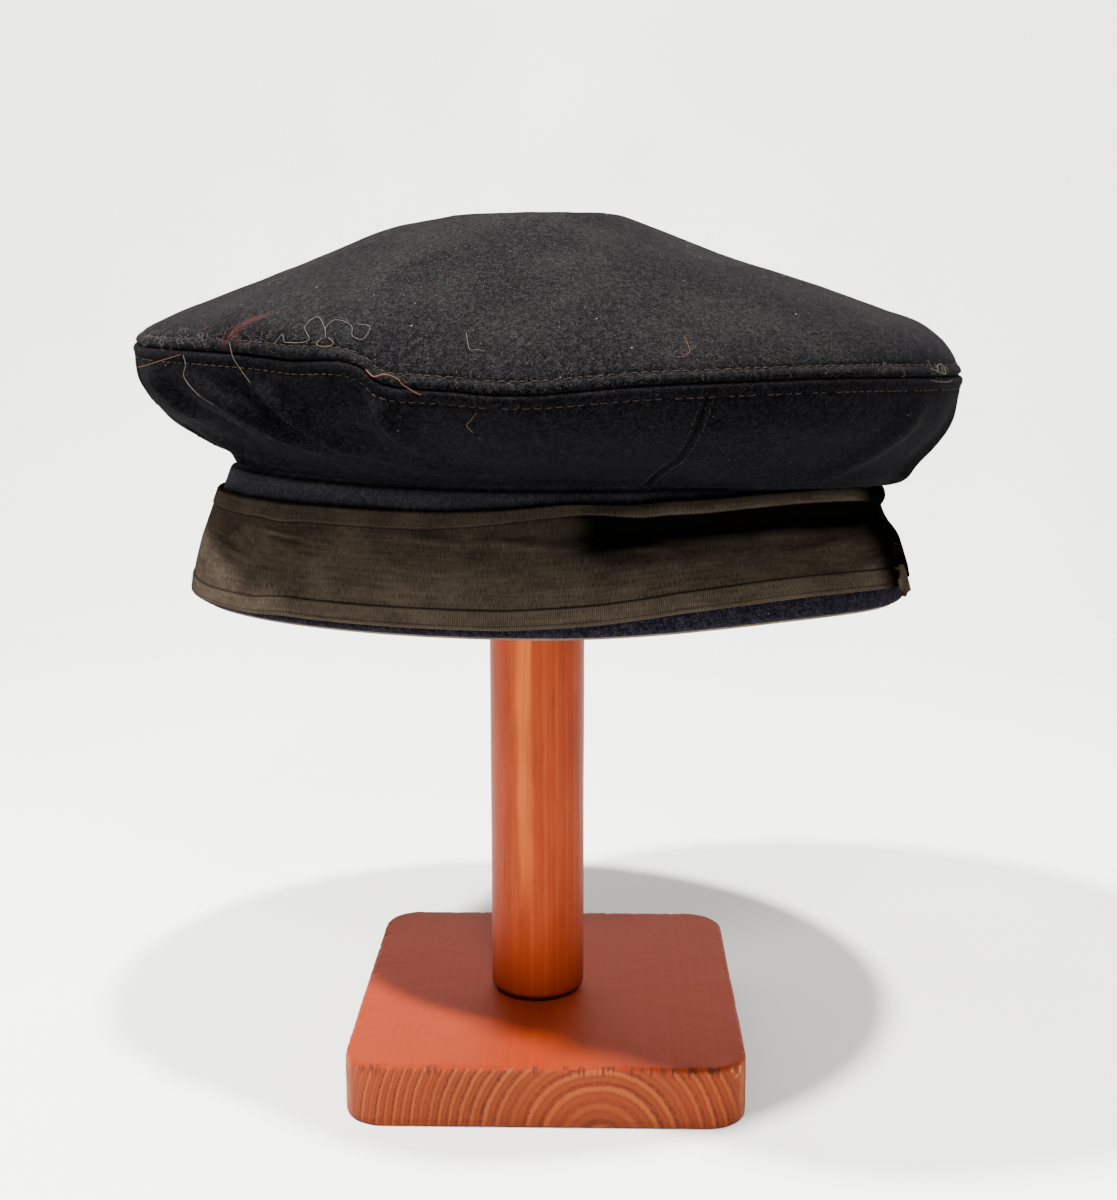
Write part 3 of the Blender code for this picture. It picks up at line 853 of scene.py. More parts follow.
def relief_of(grid, normals, distance, angles, levels, creases, seam_way, seed):
    """The grid with its seam, creases and soft waves."""
    near = bell(distance, SEAM_ROLL)[:, :, None]
    way = unit(normals * (1 - near) + seam_way * near)
    height = seam_relief(distance)
    height = height + crease_heights(angles, levels, creases) * step_up(distance, 0.002, 0.009)
    height = height + LARGE_WAVE * waves(grid, 0.030, seed) * step_up(distance, 0.002, 0.012)
    height = height + SMALL_WAVE * waves(grid, 0.0075, seed + 5)
    return grid + way * height[:, :, None]


def closed_middle(grid):
    """The grid, turned to start in the middle, with that first row drawn together to its centre."""
    made = grid[::-1].copy()
    made[0] = made[0].mean(axis=0) + (made[0] - made[0].mean(axis=0)) * 0.001
    return made


crown_outer = relief_of(crown_grid, crown_normals, crown_distance, CROWN_ANGLES, crown_level, CROWN_CREASES,
                        crown_seam_out, 1)
crown_inner = (crown_grid - crown_normals * WOOL)[4::6]
crown_cloth = wall_between("crown_cloth", closed_middle(crown_outer), closed_middle(crown_inner), True, crown_wool)
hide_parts("crown_top")
print("crown cloth:", len(crown_cloth.data.polygons), "faces")

# %% [markdown]
# ## The side panels
#
# Four panels hang from the crown seam to the band. They are sewn to one another by upright seams, topstitched on
# both sides, and the slack cloth hangs in folds where the crown sags. Each panel is a grid between two seams, with
# points close together at its three sewn edges. The seam at the front leans a little to the left on its way down.

# %% Places on the side panels
NEAR_PANEL_SEAM = np.array([0.00010, 0.0005, 0.0009, 0.0013, 0.0017, 0.0021, 0.0027])
PANEL_STITCH = 0.0017
PANEL_STITCH_COLUMN = 4
PANEL_COLUMNS = 150
TUCK_ROWS = (0.0, 0.0006, 0.0012)


def seam_bearing(number, level):
    """The bearing of a panel seam at a level, in radians; the front one leans."""
    lean = SEAM_LEAN * (level - 1.0) if number % PANELS == 0 else 0.0
    return math.radians(FIRST_SEAM_BEARING + number * 360.0 / PANELS + lean)


def panel_angles(number):
    """The angle of every place of a panel, row by row, and how far it lies from each of the panel's two seams."""
    made = []
    for row, level in zip(side_grid, side_level.mean(axis=1)):
        fine = np.linspace(seam_bearing(number, level), seam_bearing(number + 1, level), 400)
        lengths = distances_down(resample_round(row[None], fine)[0])
        whole = lengths[-1]
        middle = np.linspace(NEAR_PANEL_SEAM[-1], whole - NEAR_PANEL_SEAM[-1], PANEL_COLUMNS)[1:-1]
        wanted = np.concatenate([NEAR_PANEL_SEAM, middle, whole - NEAR_PANEL_SEAM[::-1]])
        made.append((np.interp(wanted, lengths, fine), wanted, whole - wanted))
    return np.array(made).transpose(1, 0, 2)


side_grid, side_level, side_distance = place_rows(side_dense, side_levels, NEAR_SEAM, TUCK_ROWS, 46)
side_tables = (side_grid, grid_normals(side_grid, True), side_level, side_distance,
               side_distance[-1] - side_distance, np.broadcast_to(seam_out[None], side_grid.shape))
print("side of", side_grid.shape[0], "rows")

# %% Side panels
ALLOWANCE = 0.0024
ALLOWANCE_RISE = np.array([0.0, 0.0, 0.0009])
TUCKED_IN = 0.0006
panel_tables = []
for number in range(PANELS):
    angles, from_start, from_end = panel_angles(number)
    grid, normals, levels, distance, up, seam_way = (resample_round(values, angles) for values in side_tables)
    normals = unit(normals)
    outer = relief_of(grid, normals, distance, angles, levels, CREASES, seam_way, 2)
    upright = 0.6 * seam_relief(np.minimum(from_start, from_end), PANEL_STITCH, 0.0013)
    upright = upright * step_up(distance, 0.001, 0.005)
    outer = outer + normals * (upright - TUCKED_IN * bell(up, 0.0012))[:, :, None]
    inner_rows = np.unique(np.linspace(3, grid.shape[0] - 2, 14).astype(int))
    allowance = outer[:1] - seam_way[:1] * ALLOWANCE + ALLOWANCE_RISE
    panel = wall_between(f"side_cloth_{number + 1}", np.concatenate([allowance, outer]),
                         (grid - normals * WOOL)[inner_rows], False, side_wool)
    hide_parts(f"side_panel_{number + 1}")
    panel_tables.append((angles, levels, outer, normals))
print("side panels of", outer.shape[0], "by", outer.shape[1], "points")

# %% [markdown]
# ## The topstitching
#
# Two rows of tan thread run round the cap, one above and one below the crown seam, and a pair runs down beside each
# upright seam. A machine stitch is a short piece of thread that dips into the cloth at both ends, so each is a thin
# bent tube, laid along the row of points that the cloth already has there. Some are worn away, and they vary a
# little in length and lean, as on an old cap.

# %% Thread material
def thread_material(name, dark, light):
    material, tree, shader = new_material(name, Roughness=0.80, Specular_IOR_Level=0.05)
    place = place_in_metres(tree)
    colour = mix(place.noise(900.0, 2.0, 0.6).step(0.3, 0.7), dark, light)
    paint(shader, colour, place.noise(5200.0, 1.0), 0.0001)
    return material


tan_thread = thread_material("tan_thread", (0.0085, 0.0064, 0.0048), (0.027, 0.0200, 0.0145))
dark_thread = thread_material("dark_thread", (0.0035, 0.0031, 0.0028), (0.0110, 0.0095, 0.0078))
print("thread:", tan_thread.name, dark_thread.name)

# %% Tubes along paths
ASIDE = np.array([0.31, 0.22, 0.92])


def tube(path, radii, sides):
    """Points and faces of a closed tube along a path, with one radius or a radius at each of its points."""
    path = np.asarray(path, dtype=float)
    tangents = unit(np.gradient(path, axis=0))
    first = unit(np.cross(tangents, ASIDE))
    second = np.cross(tangents, first)
    turns = np.linspace(0, FULL_TURN, sides, endpoint=False)[None, :, None]
    ring = first[:, None, :] * np.cos(turns) + second[:, None, :] * np.sin(turns)
    points = path[:, None, :] + ring * np.broadcast_to(radii, len(path))[:, None, None]
    return points.reshape(-1, 3), capped_faces(len(path), sides)


def add_tubes(name, tubes, material, map_values=None):
    """One mesh of many tubes; a map value for each tube, if given, tells them apart in the material."""
    points, faces = [], []
    offset = 0
    for tube_points, tube_faces in tubes:
        points.append(tube_points)
        faces.extend([[corner + offset for corner in face] for face in tube_faces])
        offset += len(tube_points)
    piece = add_mesh(name, np.concatenate(points), faces, material)
    if map_values is not None:
        chosen = np.repeat(np.array(map_values, dtype=float), [len(part) for part in points])
        set_map(piece, chosen, chosen)


print("tubes ready")

# %% Stitches along a line
THREAD = 0.00036
STITCH_PLACES = np.array([-1.0, -0.72, 0.0, 0.72, 1.0])
STITCH_LEAN = np.array([-1.0, -0.7, 0.0, 0.7, 1.0])[:, None]
STITCH_HEIGHTS = np.array([-0.9, 0.25, 0.65, 0.25, -0.9])[:, None]
STITCH_RADII = np.array([0.35, 0.5, 0.5, 0.5, 0.35])


def stitches_along(line, ways, pitch, length, worn, draw):
    """Bent tubes every pitch along a line of surface points, ways being the way out of the cloth at each."""
    lengths = distances_down(line)
    made = []
    for number in range(int(lengths[-1] / pitch)):
        if draw.random() < worn:
            continue
        centre = (number + 0.5 + draw.uniform(-0.08, 0.08)) * pitch
        half = length * draw.uniform(0.42, 0.56)
        at = centre + STITCH_PLACES * half
        place, way = interpolate(at, lengths, line), interpolate(at, lengths, ways)
        side = unit(np.cross(way[2], place[-1] - place[0]))
        lean = STITCH_LEAN * side * draw.uniform(-0.12, 0.22) * THREAD * 2
        made.append(tube(place + way * STITCH_HEIGHTS * THREAD + lean, STITCH_RADII * THREAD, 5))
    return made


print(f"stitches of {THREAD * 1000:.2f} mm thread")

# %% Crown and panel stitches
CROWN_PITCH, CROWN_STITCH = 0.0028, 0.0021
PANEL_PITCH, PANEL_STITCH_LENGTH = 0.0024, 0.0017
draw = random.Random(41)

closed_line, closed_ways = (np.concatenate([rows[SIDE_STITCH_ROW], rows[SIDE_STITCH_ROW, :1]])
                            for rows in (crown_outer, crown_normals))
crown_tubes = stitches_along(closed_line, closed_ways, CROWN_PITCH, CROWN_STITCH, 0.10, draw)
panel_tubes = []
for _, _, outer, _ in panel_tables:
    ways = grid_normals(outer, False)
    crown_tubes += stitches_along(outer[SIDE_STITCH_ROW], ways[SIDE_STITCH_ROW], CROWN_PITCH, CROWN_STITCH, 0.07,
                                  draw)
    for column in (PANEL_STITCH_COLUMN, -1 - PANEL_STITCH_COLUMN):
        line, line_ways = (rows[SIDE_STITCH_ROW + 1:-4, column] for rows in (outer, ways))
        panel_tubes += stitches_along(line, line_ways, PANEL_PITCH, PANEL_STITCH_LENGTH, 0.05, draw)
add_tubes("crown_seam_stitches", crown_tubes, tan_thread)
add_tubes("panel_seam_stitches", panel_tubes, dark_thread)
print(len(crown_tubes), "stitches at the crown seam,", len(panel_tubes), "down the panel seams")

# %% [markdown]
# ## The band
#
# The band holds the head. It is a deeper layer of the same wool, folded under at its hem, so it has a round lower
# edge, and it is drawn into the seam where the side panels are gathered on to it. The ribbon is laid along it at
# set heights above the hem, so the band is also kept as a table of places by angle and height.

# %% Shape of the band under the ribbon
HOLLOW_DEPTH = 0.0030
HOLLOW_EXTRA = 0.0017
BORDER_STANDS = 0.0011


def ribbon_lift(angles):
    """How far the ribbon has ridden up the band at each angle."""
    bearings, rises = zip(*RIBBON_LIFT)
    return np.interp(np.degrees(turn_from(angles, 0.0)), bearings, rises) * 0.001


def between(angles, start, full, still, end):
    """0 outside the bearings from start to end, 1 between full and still, smooth between."""
    rising = step_up(angles, math.radians(start), math.radians(full))
    return rising * step_up(-angles, -math.radians(end), -math.radians(still))


band_dense, band_levels = smooth_rows(band_rows(DENSE_ANGLES), DENSE_SHARES)
band_levels = 2 + band_levels
above_hem = distances_down(band_dense)[-1] - distances_down(band_dense)
reach = between(DENSE_ANGLES, 0, 16, 80, 100)
below_edge = RIBBON_ABOVE_HEM + RIBBON_WIDTH + ribbon_lift(DENSE_ANGLES) - HOLLOW_EXTRA * reach - above_hem
dip = -HOLLOW_DEPTH * step_up(below_edge, 0.0028, 0.0062) * step_up(-below_edge, -0.0180, -0.0100)
dip = dip + BORDER_STANDS * hump((below_edge - 0.0018) / 0.0038)
band_dense = band_dense + grid_normals(band_dense, True) * (reach[None, :] * dip)[:, :, None]
print(f"hollow {HOLLOW_DEPTH * 1000:.1f} mm deep")

# %% Band cloth
BAND_ANGLES = round_angles(520)
HEM_TURNS = np.radians([20.0, 45.0, 70.0, 95.0, 120.0, 145.0])[:, None, None]
BAND_CREASES = (
    Crease(-66.0, 2.10, -48.0, 2.24, 0.0040, 0.0006),
    Crease(-30.0, 2.06, -10.0, 2.12, 0.0030, 0.0005),
)
TUCKED_ROWS = ((0.0030, 0.0055), (0.0022, 0.0035), (0.0009, 0.0014))

band_grid, band_level, band_distance = (
    resample_round(values, BAND_ANGLES)
    for values in place_rows(band_dense, band_levels, (0.0002, 0.0008, 0.0015, 0.0024),
                             (BAND_WOOL / 2, 0.0020, 0.0028), 30))
band_normals = grid_normals(band_grid, True)
band_height = -0.0016 * bell(band_distance, 0.0011) + crease_heights(BAND_ANGLES, band_level, BAND_CREASES)
band_height = band_height + 0.00018 * waves(band_grid, 0.012, 3)
band_outer = band_grid + band_normals * band_height[:, :, None]
hem_down = unit(band_outer[-1] - band_outer[-2])
hem_centre = band_outer[-1] - band_normals[-1] * BAND_WOOL / 2
hem_rows = hem_centre + (band_normals[-1] * np.cos(HEM_TURNS) + hem_down * np.sin(HEM_TURNS)) * BAND_WOOL / 2
band_top = [band_outer[0] - band_normals[0] * inward + np.array([0.0, 0.0, rise]) for inward, rise in TUCKED_ROWS]
band_outer = np.concatenate([np.array(band_top), band_outer, hem_rows])
band_inner = (band_grid - band_normals * BAND_WOOL)[[1, 6, 12, 18, 24, 30, -1]]
band_cloth = wall_between("band_cloth", band_outer, band_inner, True, band_wool)
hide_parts("band")
print("band cloth:", len(band_cloth.data.polygons), "faces")

# %% Places on the band by angle and height
HEIGHT_STEP = 0.00025
TABLE_HEIGHTS = np.arange(0, 0.046, HEIGHT_STEP)
upward = band_dense[::-1]
upward_lengths = distances_down(upward)
wanted_heights = np.broadcast_to(TABLE_HEIGHTS[:, None], (len(TABLE_HEIGHTS), ROUND_SAMPLES))
band_table = resample_down(upward, upward_lengths, wanted_heights)
level_column = np.broadcast_to(band_levels[::-1][:, None], upward_lengths.shape)
level_table = resample_down(level_column, upward_lengths, wanted_heights)[:, :, None]
normal_table = -grid_normals(band_table, True)


def on_band(angles, heights):
    """Places, ways out and levels on the band's outside, at these angles and heights above the hem."""
    column = np.remainder(angles + math.pi, FULL_TURN) / FULL_TURN * ROUND_SAMPLES
    row = np.clip(heights / HEIGHT_STEP, 0, len(TABLE_HEIGHTS) - 1.001)
    left = np.floor(column).astype(int) % ROUND_SAMPLES
    right = (left + 1) % ROUND_SAMPLES
    low = np.floor(row).astype(int)
    across = (column - np.floor(column))[..., None]
    down = (row - low)[..., None]

    def blend(table):
        top = table[low, left] * (1 - across) + table[low, right] * across
        bottom = table[low + 1, left] * (1 - across) + table[low + 1, right] * across
        return top * (1 - down) + bottom * down

    return blend(band_table), unit(blend(normal_table)), blend(level_table)[..., 0]


print("band table of", len(TABLE_HEIGHTS), "heights")

# %% [markdown]
# ## Ribbed silk
#
# The hat ribbon is woven in one width: a smooth field with a ribbed border along each edge. Ribs half a millimetre
# apart stand on the borders, a dark line of floats parts them from the field, and another runs just inside the
# lower edge. The ribbon's map is in metres, so the weave follows the strip wherever it goes and keeps its scale.

# %% Silk group
TOP_BORDER = 0.0054
BOTTOM_BORDER = 0.0058
EDGE_LINE = 0.0012
RIB = 0.00052
FLOAT_LINE = (0.004, 0.003, 0.003)


def silk_group():
    along, across, dark, light = new_group("ribbed_silk", Along="Float", Across="Float", Dark="Color", Light="Color")
    flat = add_node(along.tree, "CombineXYZ", {"X": along, "Y": across})
    wobble = (flat.noise(260.0) - 0.5) * 0.0007
    rib = maths("SINE", (along + wobble) * (FULL_TURN / RIB)) * 0.5 + 0.5
    from_bottom = RIBBON_WIDTH - across
    top = across.step(TOP_BORDER + 0.0001, TOP_BORDER - 0.0001)
    bottom = from_bottom.step(BOTTOM_BORDER + 0.0001, BOTTOM_BORDER - 0.0001)
    border = maths("ADD", top, bottom, clamp=True)
    line = 0.0
    for place, edge, width, strength in (
        (across, TOP_BORDER, 0.00042, 1.0), (from_bottom, BOTTOM_BORDER, 0.00040, 1.0),
        (from_bottom, EDGE_LINE, 0.00024, 0.75), (across, 0.0003, 0.00018, 0.5),
    ):
        away = abs(place - edge - rib * 0.00016)
        line = maths("MAXIMUM", line, away.step(width, width * 0.35) * strength)
    broken = line * (rib * 0.35 + 0.65)
    weft = flat.stretched(3200.0, 420.0, 1.0).noise(1.0, 2.0, 0.6)
    cross = flat.stretched(90.0, 900.0, 1.0).noise(1.0, 3.0, 0.6)
    worn = flat.noise(60.0, 4.0, 0.55).step(0.25, 0.80)
    shade = weft * 0.52 + cross * 0.32 + worn * 0.16 + border * ((rib - 0.5) * 0.26) + border * 0.06
    colour = mix(broken * 0.85, mix(shade.step(0.22, 0.86), dark, light), FLOAT_LINE)
    return finish_group(Colour=colour, Height=border * rib * 0.8 + weft * 0.35 - broken, Line=broken)


RIBBED_SILK = silk_group()
print("group:", RIBBED_SILK.name)

# %% Silk material
SILK_DARK = (0.0082, 0.0060, 0.0041)
SILK_LIGHT = (0.0515, 0.0395, 0.0284)
# Painted shade: the near-black silk in the hollow under the top border at the right and at both torn ends.
SILK_PAINTED_SHADE = (0.0008, 0.0006, 0.0005)
HOLLOW_ALONG = (0.436, 0.454)
HOLLOW_ACROSS = (0.0051, 0.0056, 0.0124, 0.0162)
DARK_END_ALONG = (0.540, 0.551)
DARK_START_ALONG = (0.016, 0.005)


def silk_material(name, dark, light, hollow=False):
    """Ribbed silk; with a hollow, painted near black as shade in the hollow at the right and at both torn ends."""
    material, tree, shader = new_material(
        name, Roughness=0.62, Specular_IOR_Level=0.0, Sheen_Weight=0.002, Sheen_Roughness=0.5,
    )
    laid = cloth_map(tree)
    along, across, _ = laid.parts()
    colour = silk = use_group(RIBBED_SILK, Along=along, Across=across, Dark=dark, Light=light)
    roughness = silk.output("Line") * 0.3 + 0.55
    # Painted shade: the silk turns near black under its top border and at both torn ends, and fully rough there so it
    # takes no grazing reflection.
    if hollow:
        low, full, lower, end = HOLLOW_ACROSS
        edge = (laid.noise(24.0) - 0.5) * 0.006
        under = across.step(low, full) * (across + edge).step(end, lower) * along.step(*HOLLOW_ALONG)
        under = maths("MAXIMUM", under, (along + edge).step(*DARK_END_ALONG))
        under = maths("MAXIMUM", under, along.step(*DARK_START_ALONG))
        colour = mix(under, colour, SILK_PAINTED_SHADE)
        roughness = maths("MAXIMUM", roughness, under)
    feed(shader.inputs["Roughness"], roughness)
    paint(shader, colour, silk.output("Height"), 0.00014, 0.9)
    return material


ribbon_silk = silk_material("ribbon_silk_weave", SILK_DARK, SILK_LIGHT, hollow=True)
painted_shade_torn_silk = silk_material("painted_shade_torn_silk", (0.0006, 0.0005, 0.0004), (0.0035, 0.0026, 0.0018))
faded_silk = silk_material("faded_silk", (0.016, 0.0110, 0.0072), (0.046, 0.0335, 0.0215))
print("silk:", ribbon_silk.name, painted_shade_torn_silk.name, faded_silk.name)

# %% [markdown]
# ## The ribbon
#
# The ribbon lies round the band under its own tension, so it follows the band and wrinkles only where it has
# slipped. It is a strip of rows at set places across its width, close together where a border steps down to the
# field. It rides up a little at the right, and both its torn ends meet there: one frays and stands off the band.

# %% Places across and along the ribbon
RIBBON_COLUMNS = 700
ACROSS = np.concatenate([
    [0.0, 0.0002, 0.0006, 0.0012, 0.0020, 0.0030, 0.0040, 0.0048, 0.0052, 0.0055, 0.0058, 0.0063],
    np.linspace(0.0072, 0.0270, 26),
    [0.0276, 0.0279, 0.0282, 0.0285, 0.0289, 0.0296, 0.0306, 0.0316, 0.0324, 0.0328, 0.0332, 0.0337, 0.0340],
])
RIBBON_START = TAIL_BEARING + 3.0
RIBBON_END = TAIL_BEARING - 2.6 + 360.0
RAGGED = 0.012

fray = random.Random(7)
ragged_end = 0.6 * np.array([fray.uniform(-1, 1) for _ in ACROSS]) + 0.8 * np.sin(np.linspace(0, 9, len(ACROSS)))
to_end = np.arange(RIBBON_COLUMNS)[::-1]
ribbon_angles = (np.radians(np.linspace(RIBBON_START, RIBBON_END, RIBBON_COLUMNS))
                 + ragged_end[:, None] * RAGGED * np.clip(1 - to_end / 7.0, 0, 1))
across_grid = np.broadcast_to(ACROSS[:, None], ribbon_angles.shape)
print(len(ACROSS), "rows of", RIBBON_COLUMNS, "places")

# %% Heights of the ribbon on the band
EASED_UP = 0.0019
BORDER_PRESS = 0.0026


def beside(angles, bearing, span):
    """1 at a bearing, falling smoothly to 0 at a span in degrees to either side."""
    return hump(turn_from(angles, bearing) / math.radians(span))


upper_kink = 0.0007 * beside(ribbon_angles, -47.0, 7) - 0.0006 * beside(ribbon_angles, -8.0, 16)
lower_kink = 0.0016 * step_up(-turn_from(ribbon_angles, -42.0), -0.02, 0.16)
lower_kink = lower_kink * step_up(turn_from(ribbon_angles, -95.0), 0, 0.5)
pushed = (upper_kink * hump((across_grid - TOP_BORDER) / 0.010)
          + lower_kink * hump((across_grid - RIBBON_WIDTH + BOTTOM_BORDER) / 0.012))
eased = EASED_UP * np.clip(1 - across_grid / 0.013, 0, 1) * beside(ribbon_angles, 6.0, 24)
pressed = BORDER_PRESS * np.clip(across_grid / TOP_BORDER, 0, 1)
pressed = pressed * np.clip(1 - (across_grid - TOP_BORDER) / 0.012, 0, 1)
pressed = pressed * between(turn_from(ribbon_angles, 0.0), -20, 8, 78, 92)
heights = RIBBON_ABOVE_HEM + RIBBON_WIDTH - across_grid - pushed + eased + pressed + ribbon_lift(ribbon_angles)
ribbon_places, ribbon_ways, ribbon_levels = on_band(ribbon_angles, heights)
print(f"borders pressed down by up to {BORDER_PRESS * 1000:.1f} mm")

# %% Ribbon strip
BORDER_RISE = 0.00045
THIN_EDGE = 0.0003
EDGE_WIDTH = 0.00025
RIBBON_CREASES = (
    Crease(-52.0, 2.325, -39.0, 2.385, 0.0011, -0.0007),
    Crease(-52.0, 2.300, -39.0, 2.360, 0.0012, 0.0006),
    Crease(-68.0, 2.480, -51.0, 2.610, 0.0014, 0.0006),
    Crease(-62.0, 2.300, -54.0, 2.520, 0.0020, 0.0005),
    Crease(-46.0, 2.420, -34.0, 2.560, 0.0022, 0.0004),
    Crease(-36.0, 2.640, -22.0, 2.740, 0.0016, 0.0004),
    Crease(-26.0, 2.260, -12.0, 2.330, 0.0020, 0.0005),
    Crease(-10.0, 2.290, 8.0, 2.400, 0.0022, 0.0007),
    Crease(2.0, 2.300, 22.0, 2.420, 0.0022, 0.0006),
    Crease(40.0, 2.560, 60.0, 2.440, 0.0024, 0.0006),
    Crease(52.0, 2.700, 72.0, 2.600, 0.0020, 0.0006),
    Crease(-5.0, 2.700, 12.0, 2.640, 0.0018, 0.0003),
)
RIBBON_BACK = [0, 4, 8, 11, 18, 26, 34, 40, 44, 48, -1]

lower_border = RIBBON_WIDTH - BOTTOM_BORDER
border_share = (step_up(-across_grid, -TOP_BORDER - 0.0003, -TOP_BORDER + 0.0003)
                + step_up(across_grid, lower_border - 0.0003, lower_border + 0.0003))
thin_edge = bell(across_grid, EDGE_WIDTH) + bell(RIBBON_WIDTH - across_grid, EDGE_WIDTH)
standing = bell(to_end, 9.0) * (0.0010 + 0.0006 * np.sin(across_grid * 420.0))
ribbon_height = (CLEARANCE + SILK + 0.0003 + BORDER_RISE * border_share - THIN_EDGE * thin_edge + standing
                 + crease_heights(ribbon_angles, ribbon_levels, RIBBON_CREASES) * (1 - 0.6 * border_share)
                 + 0.00012 * waves(ribbon_places, 0.007, 9) * (1 - border_share))
ribbon_outer = ribbon_places + ribbon_ways * ribbon_height[:, :, None]
ribbon_inner = ribbon_places + ribbon_ways * (ribbon_height - SILK - BORDER_RISE * border_share * 0.8)[:, :, None]
ribbon = wall_between("hat_ribbon", ribbon_outer, ribbon_inner[RIBBON_BACK], False, ribbon_silk)
run = distances_down(ribbon_places[len(ACROSS) // 2])
run_grid = np.broadcast_to(run, ribbon_angles.shape)
set_map(ribbon, *(np.concatenate([grid, grid[RIBBON_BACK]]).ravel() for grid in (run_grid, across_grid)))
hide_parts("ribbon")

# %% [markdown]
# ## The torn end
#
# Past the ribbon's frayed edge, at the right, its torn end is folded back on itself. A strip of it, painted near black
# as shade, turns out from the band up the whole gap between the ribbon's two ends, and a paler fold of it shows near
# the hem. Each is a strip lofted through sections, and each section is a short path round the fold, with its last
# points cut ragged.

# %% Folded end
FOLD_PATH = ((12.0, 0.0010), (8.0, 0.0014), (5.0, 0.0019), (2.6, 0.0027), (1.0, 0.0034), (0.0, 0.0034),
             (-0.5, 0.0026), (-0.4, 0.0016))
FOLD_FOOT = 0.0010
FOLD_COLUMNS = 26
PALE_BEARING = 70.5


def fold_sections(bottom, top, rows, seed, stand, bearing=TAIL_BEARING, reach=1.0, taper=0.0, lifted=0.0,
                  wave=0.0012):
    """A grid up the fold: each row is the path round it, smoothed, narrowing and crumpling upwards."""
    draw = random.Random(seed)
    fine = np.linspace(0, len(FOLD_PATH) - 1, FOLD_COLUMNS)
    along = np.linspace(0, 1, FOLD_COLUMNS)
    bearings, offs = (np.interp(fine, range(len(FOLD_PATH)), column) for column in zip(*FOLD_PATH))
    grid = []
    for number in range(rows):
        share = number / (rows - 1)
        height = bottom + (top - bottom) * share
        crumple = 0.0005 * math.sin(9.0 * share + 1.0) + draw.uniform(-0.00018, 0.00018)
        narrow = 1.0 - 0.55 * share
        out = lifted + FOLD_FOOT + (offs - FOLD_FOOT) * narrow * stand + crumple * along ** 2
        turn = bearings + 1.2 * math.sin(7.0 * share) * along
        turn[-1] += draw.uniform(-1.1, 1.1)
        turn[-2] += draw.uniform(-0.3, 0.3)
        angles = np.radians(bearing + turn * reach * (1.0 - taper * share))
        places, ways, _ = on_band(angles, height + wave * np.sin(fine * 0.9))
        grid.append(places + ways * out[:, None])
    return np.array(grid[::-1])


def torn_strip(name, material, *sizes, **placed):
    """A strip of torn silk over the fold, with a map that puts the ribbon's field on it."""
    outer = fold_sections(*sizes, **placed)
    inner = outer - grid_normals(outer, False) * SILK * 0.8
    piece = wall_between(name, outer, inner, False, material)
    along = distances_down(outer.swapaxes(0, 1)).T
    down = np.linspace(0.008, 0.026, len(outer))[:, None] + 0 * along
    set_map(piece, *(np.concatenate([grid, grid]).ravel() for grid in (along, down)))
    return piece


# The torn end's silk is painted near black as shade, and it covers the gap between the ribbon's two ends.
torn_end = torn_strip("torn_ribbon_end", painted_shade_torn_silk, 0.0085, 0.0360, 46, 12, 0.8)
pale_fold = torn_strip("torn_ribbon_fold", faded_silk, 0.0026, 0.0116, 16, 13, 0.30, bearing=PALE_BEARING,
                       reach=0.62, taper=0.45, lifted=0.0016, wave=0.0004)
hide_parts("ribbon_tail")
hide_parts("ribbon_tail")
print("torn end:", len(torn_end.data.polygons) + len(pale_fold.data.polygons), "faces")

# %% Frayed threads
FRAY_COUNT = 90
fray_tubes = []
for _ in range(FRAY_COUNT):
    row = fray.randrange(len(ACROSS))
    start = ribbon_outer[row, -1] - ribbon_ways[row, -1] * SILK * fray.uniform(0.1, 0.9)
    ahead = unit(ribbon_outer[row, -1] - ribbon_outer[row, -4])
    length = fray.uniform(0.0006, 0.0030)
    curl = np.array([fray.uniform(-1, 1), fray.uniform(-1, 1), fray.uniform(-1.4, 0.6)]) * 0.5
    steps = np.linspace(0, 1, 5)[:, None]
    path = start + ahead * length * steps + (curl * length) * steps**2
    fray_tubes.append(tube(path, fray.uniform(0.00004, 0.00009), 4))
add_tubes("frayed_silk_threads", fray_tubes, dark_thread)
print(len(fray_tubes), "frayed threads")

# %% [markdown]
# ## The sweatband
#
# Inside the band runs a strip of thin leather, sewn at its lower edge, so that the wool doesn't touch the head. Its
# edge shows as a thin brown line under the hem. It is smooth and darkened by wear, with fine pores.

# %% Leather and sweatband
SWEATBAND_ANGLES = round_angles(300)
SWEATBAND_HEIGHTS = np.array([0.030, 0.028, 0.024, 0.018, 0.012, 0.007, 0.003, 0.0])
SHOWS_BELOW_HEM = 0.0007


def leather_material():
    material, tree, shader = new_material("tan_leather", Roughness=0.5, Specular_IOR_Level=0.4)
    place = place_in_metres(tree)
    colour = mix(place.noise(60.0, 4.0, 0.6).step(0.35, 0.7), (0.045, 0.028, 0.014), (0.105, 0.070, 0.036))
    pores = add_node(tree, "TexVoronoi", {"Vector": place, "Scale": 1300.0}, "Distance")
    colour = mix(pores.step(0.22, 0.05), colour, (0.022, 0.013, 0.007))
    paint(shader, colour, pores + place.noise(500.0, 3.0, 0.6), 0.0002, 0.6)
    return material


places, ways, _ = on_band(*np.broadcast_arrays(SWEATBAND_ANGLES, SWEATBAND_HEIGHTS[:, None]))
lower = (ways[-1] * 0.2 + (places[-1] - places[-2]) / SWEATBAND_HEIGHTS[-2]) * SHOWS_BELOW_HEM
places = np.concatenate([places, (places[-1] + lower)[None]])
ways = np.concatenate([ways, ways[-1:]])
sweat_outer = places - ways * (BAND_WOOL + CLEARANCE)
sweatband = wall_between("leather_sweatband", sweat_outer, sweat_outer - ways * LEATHER, True, leather_material())
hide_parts("sweatband")
print("sweatband:", len(sweatband.data.polygons), "faces")

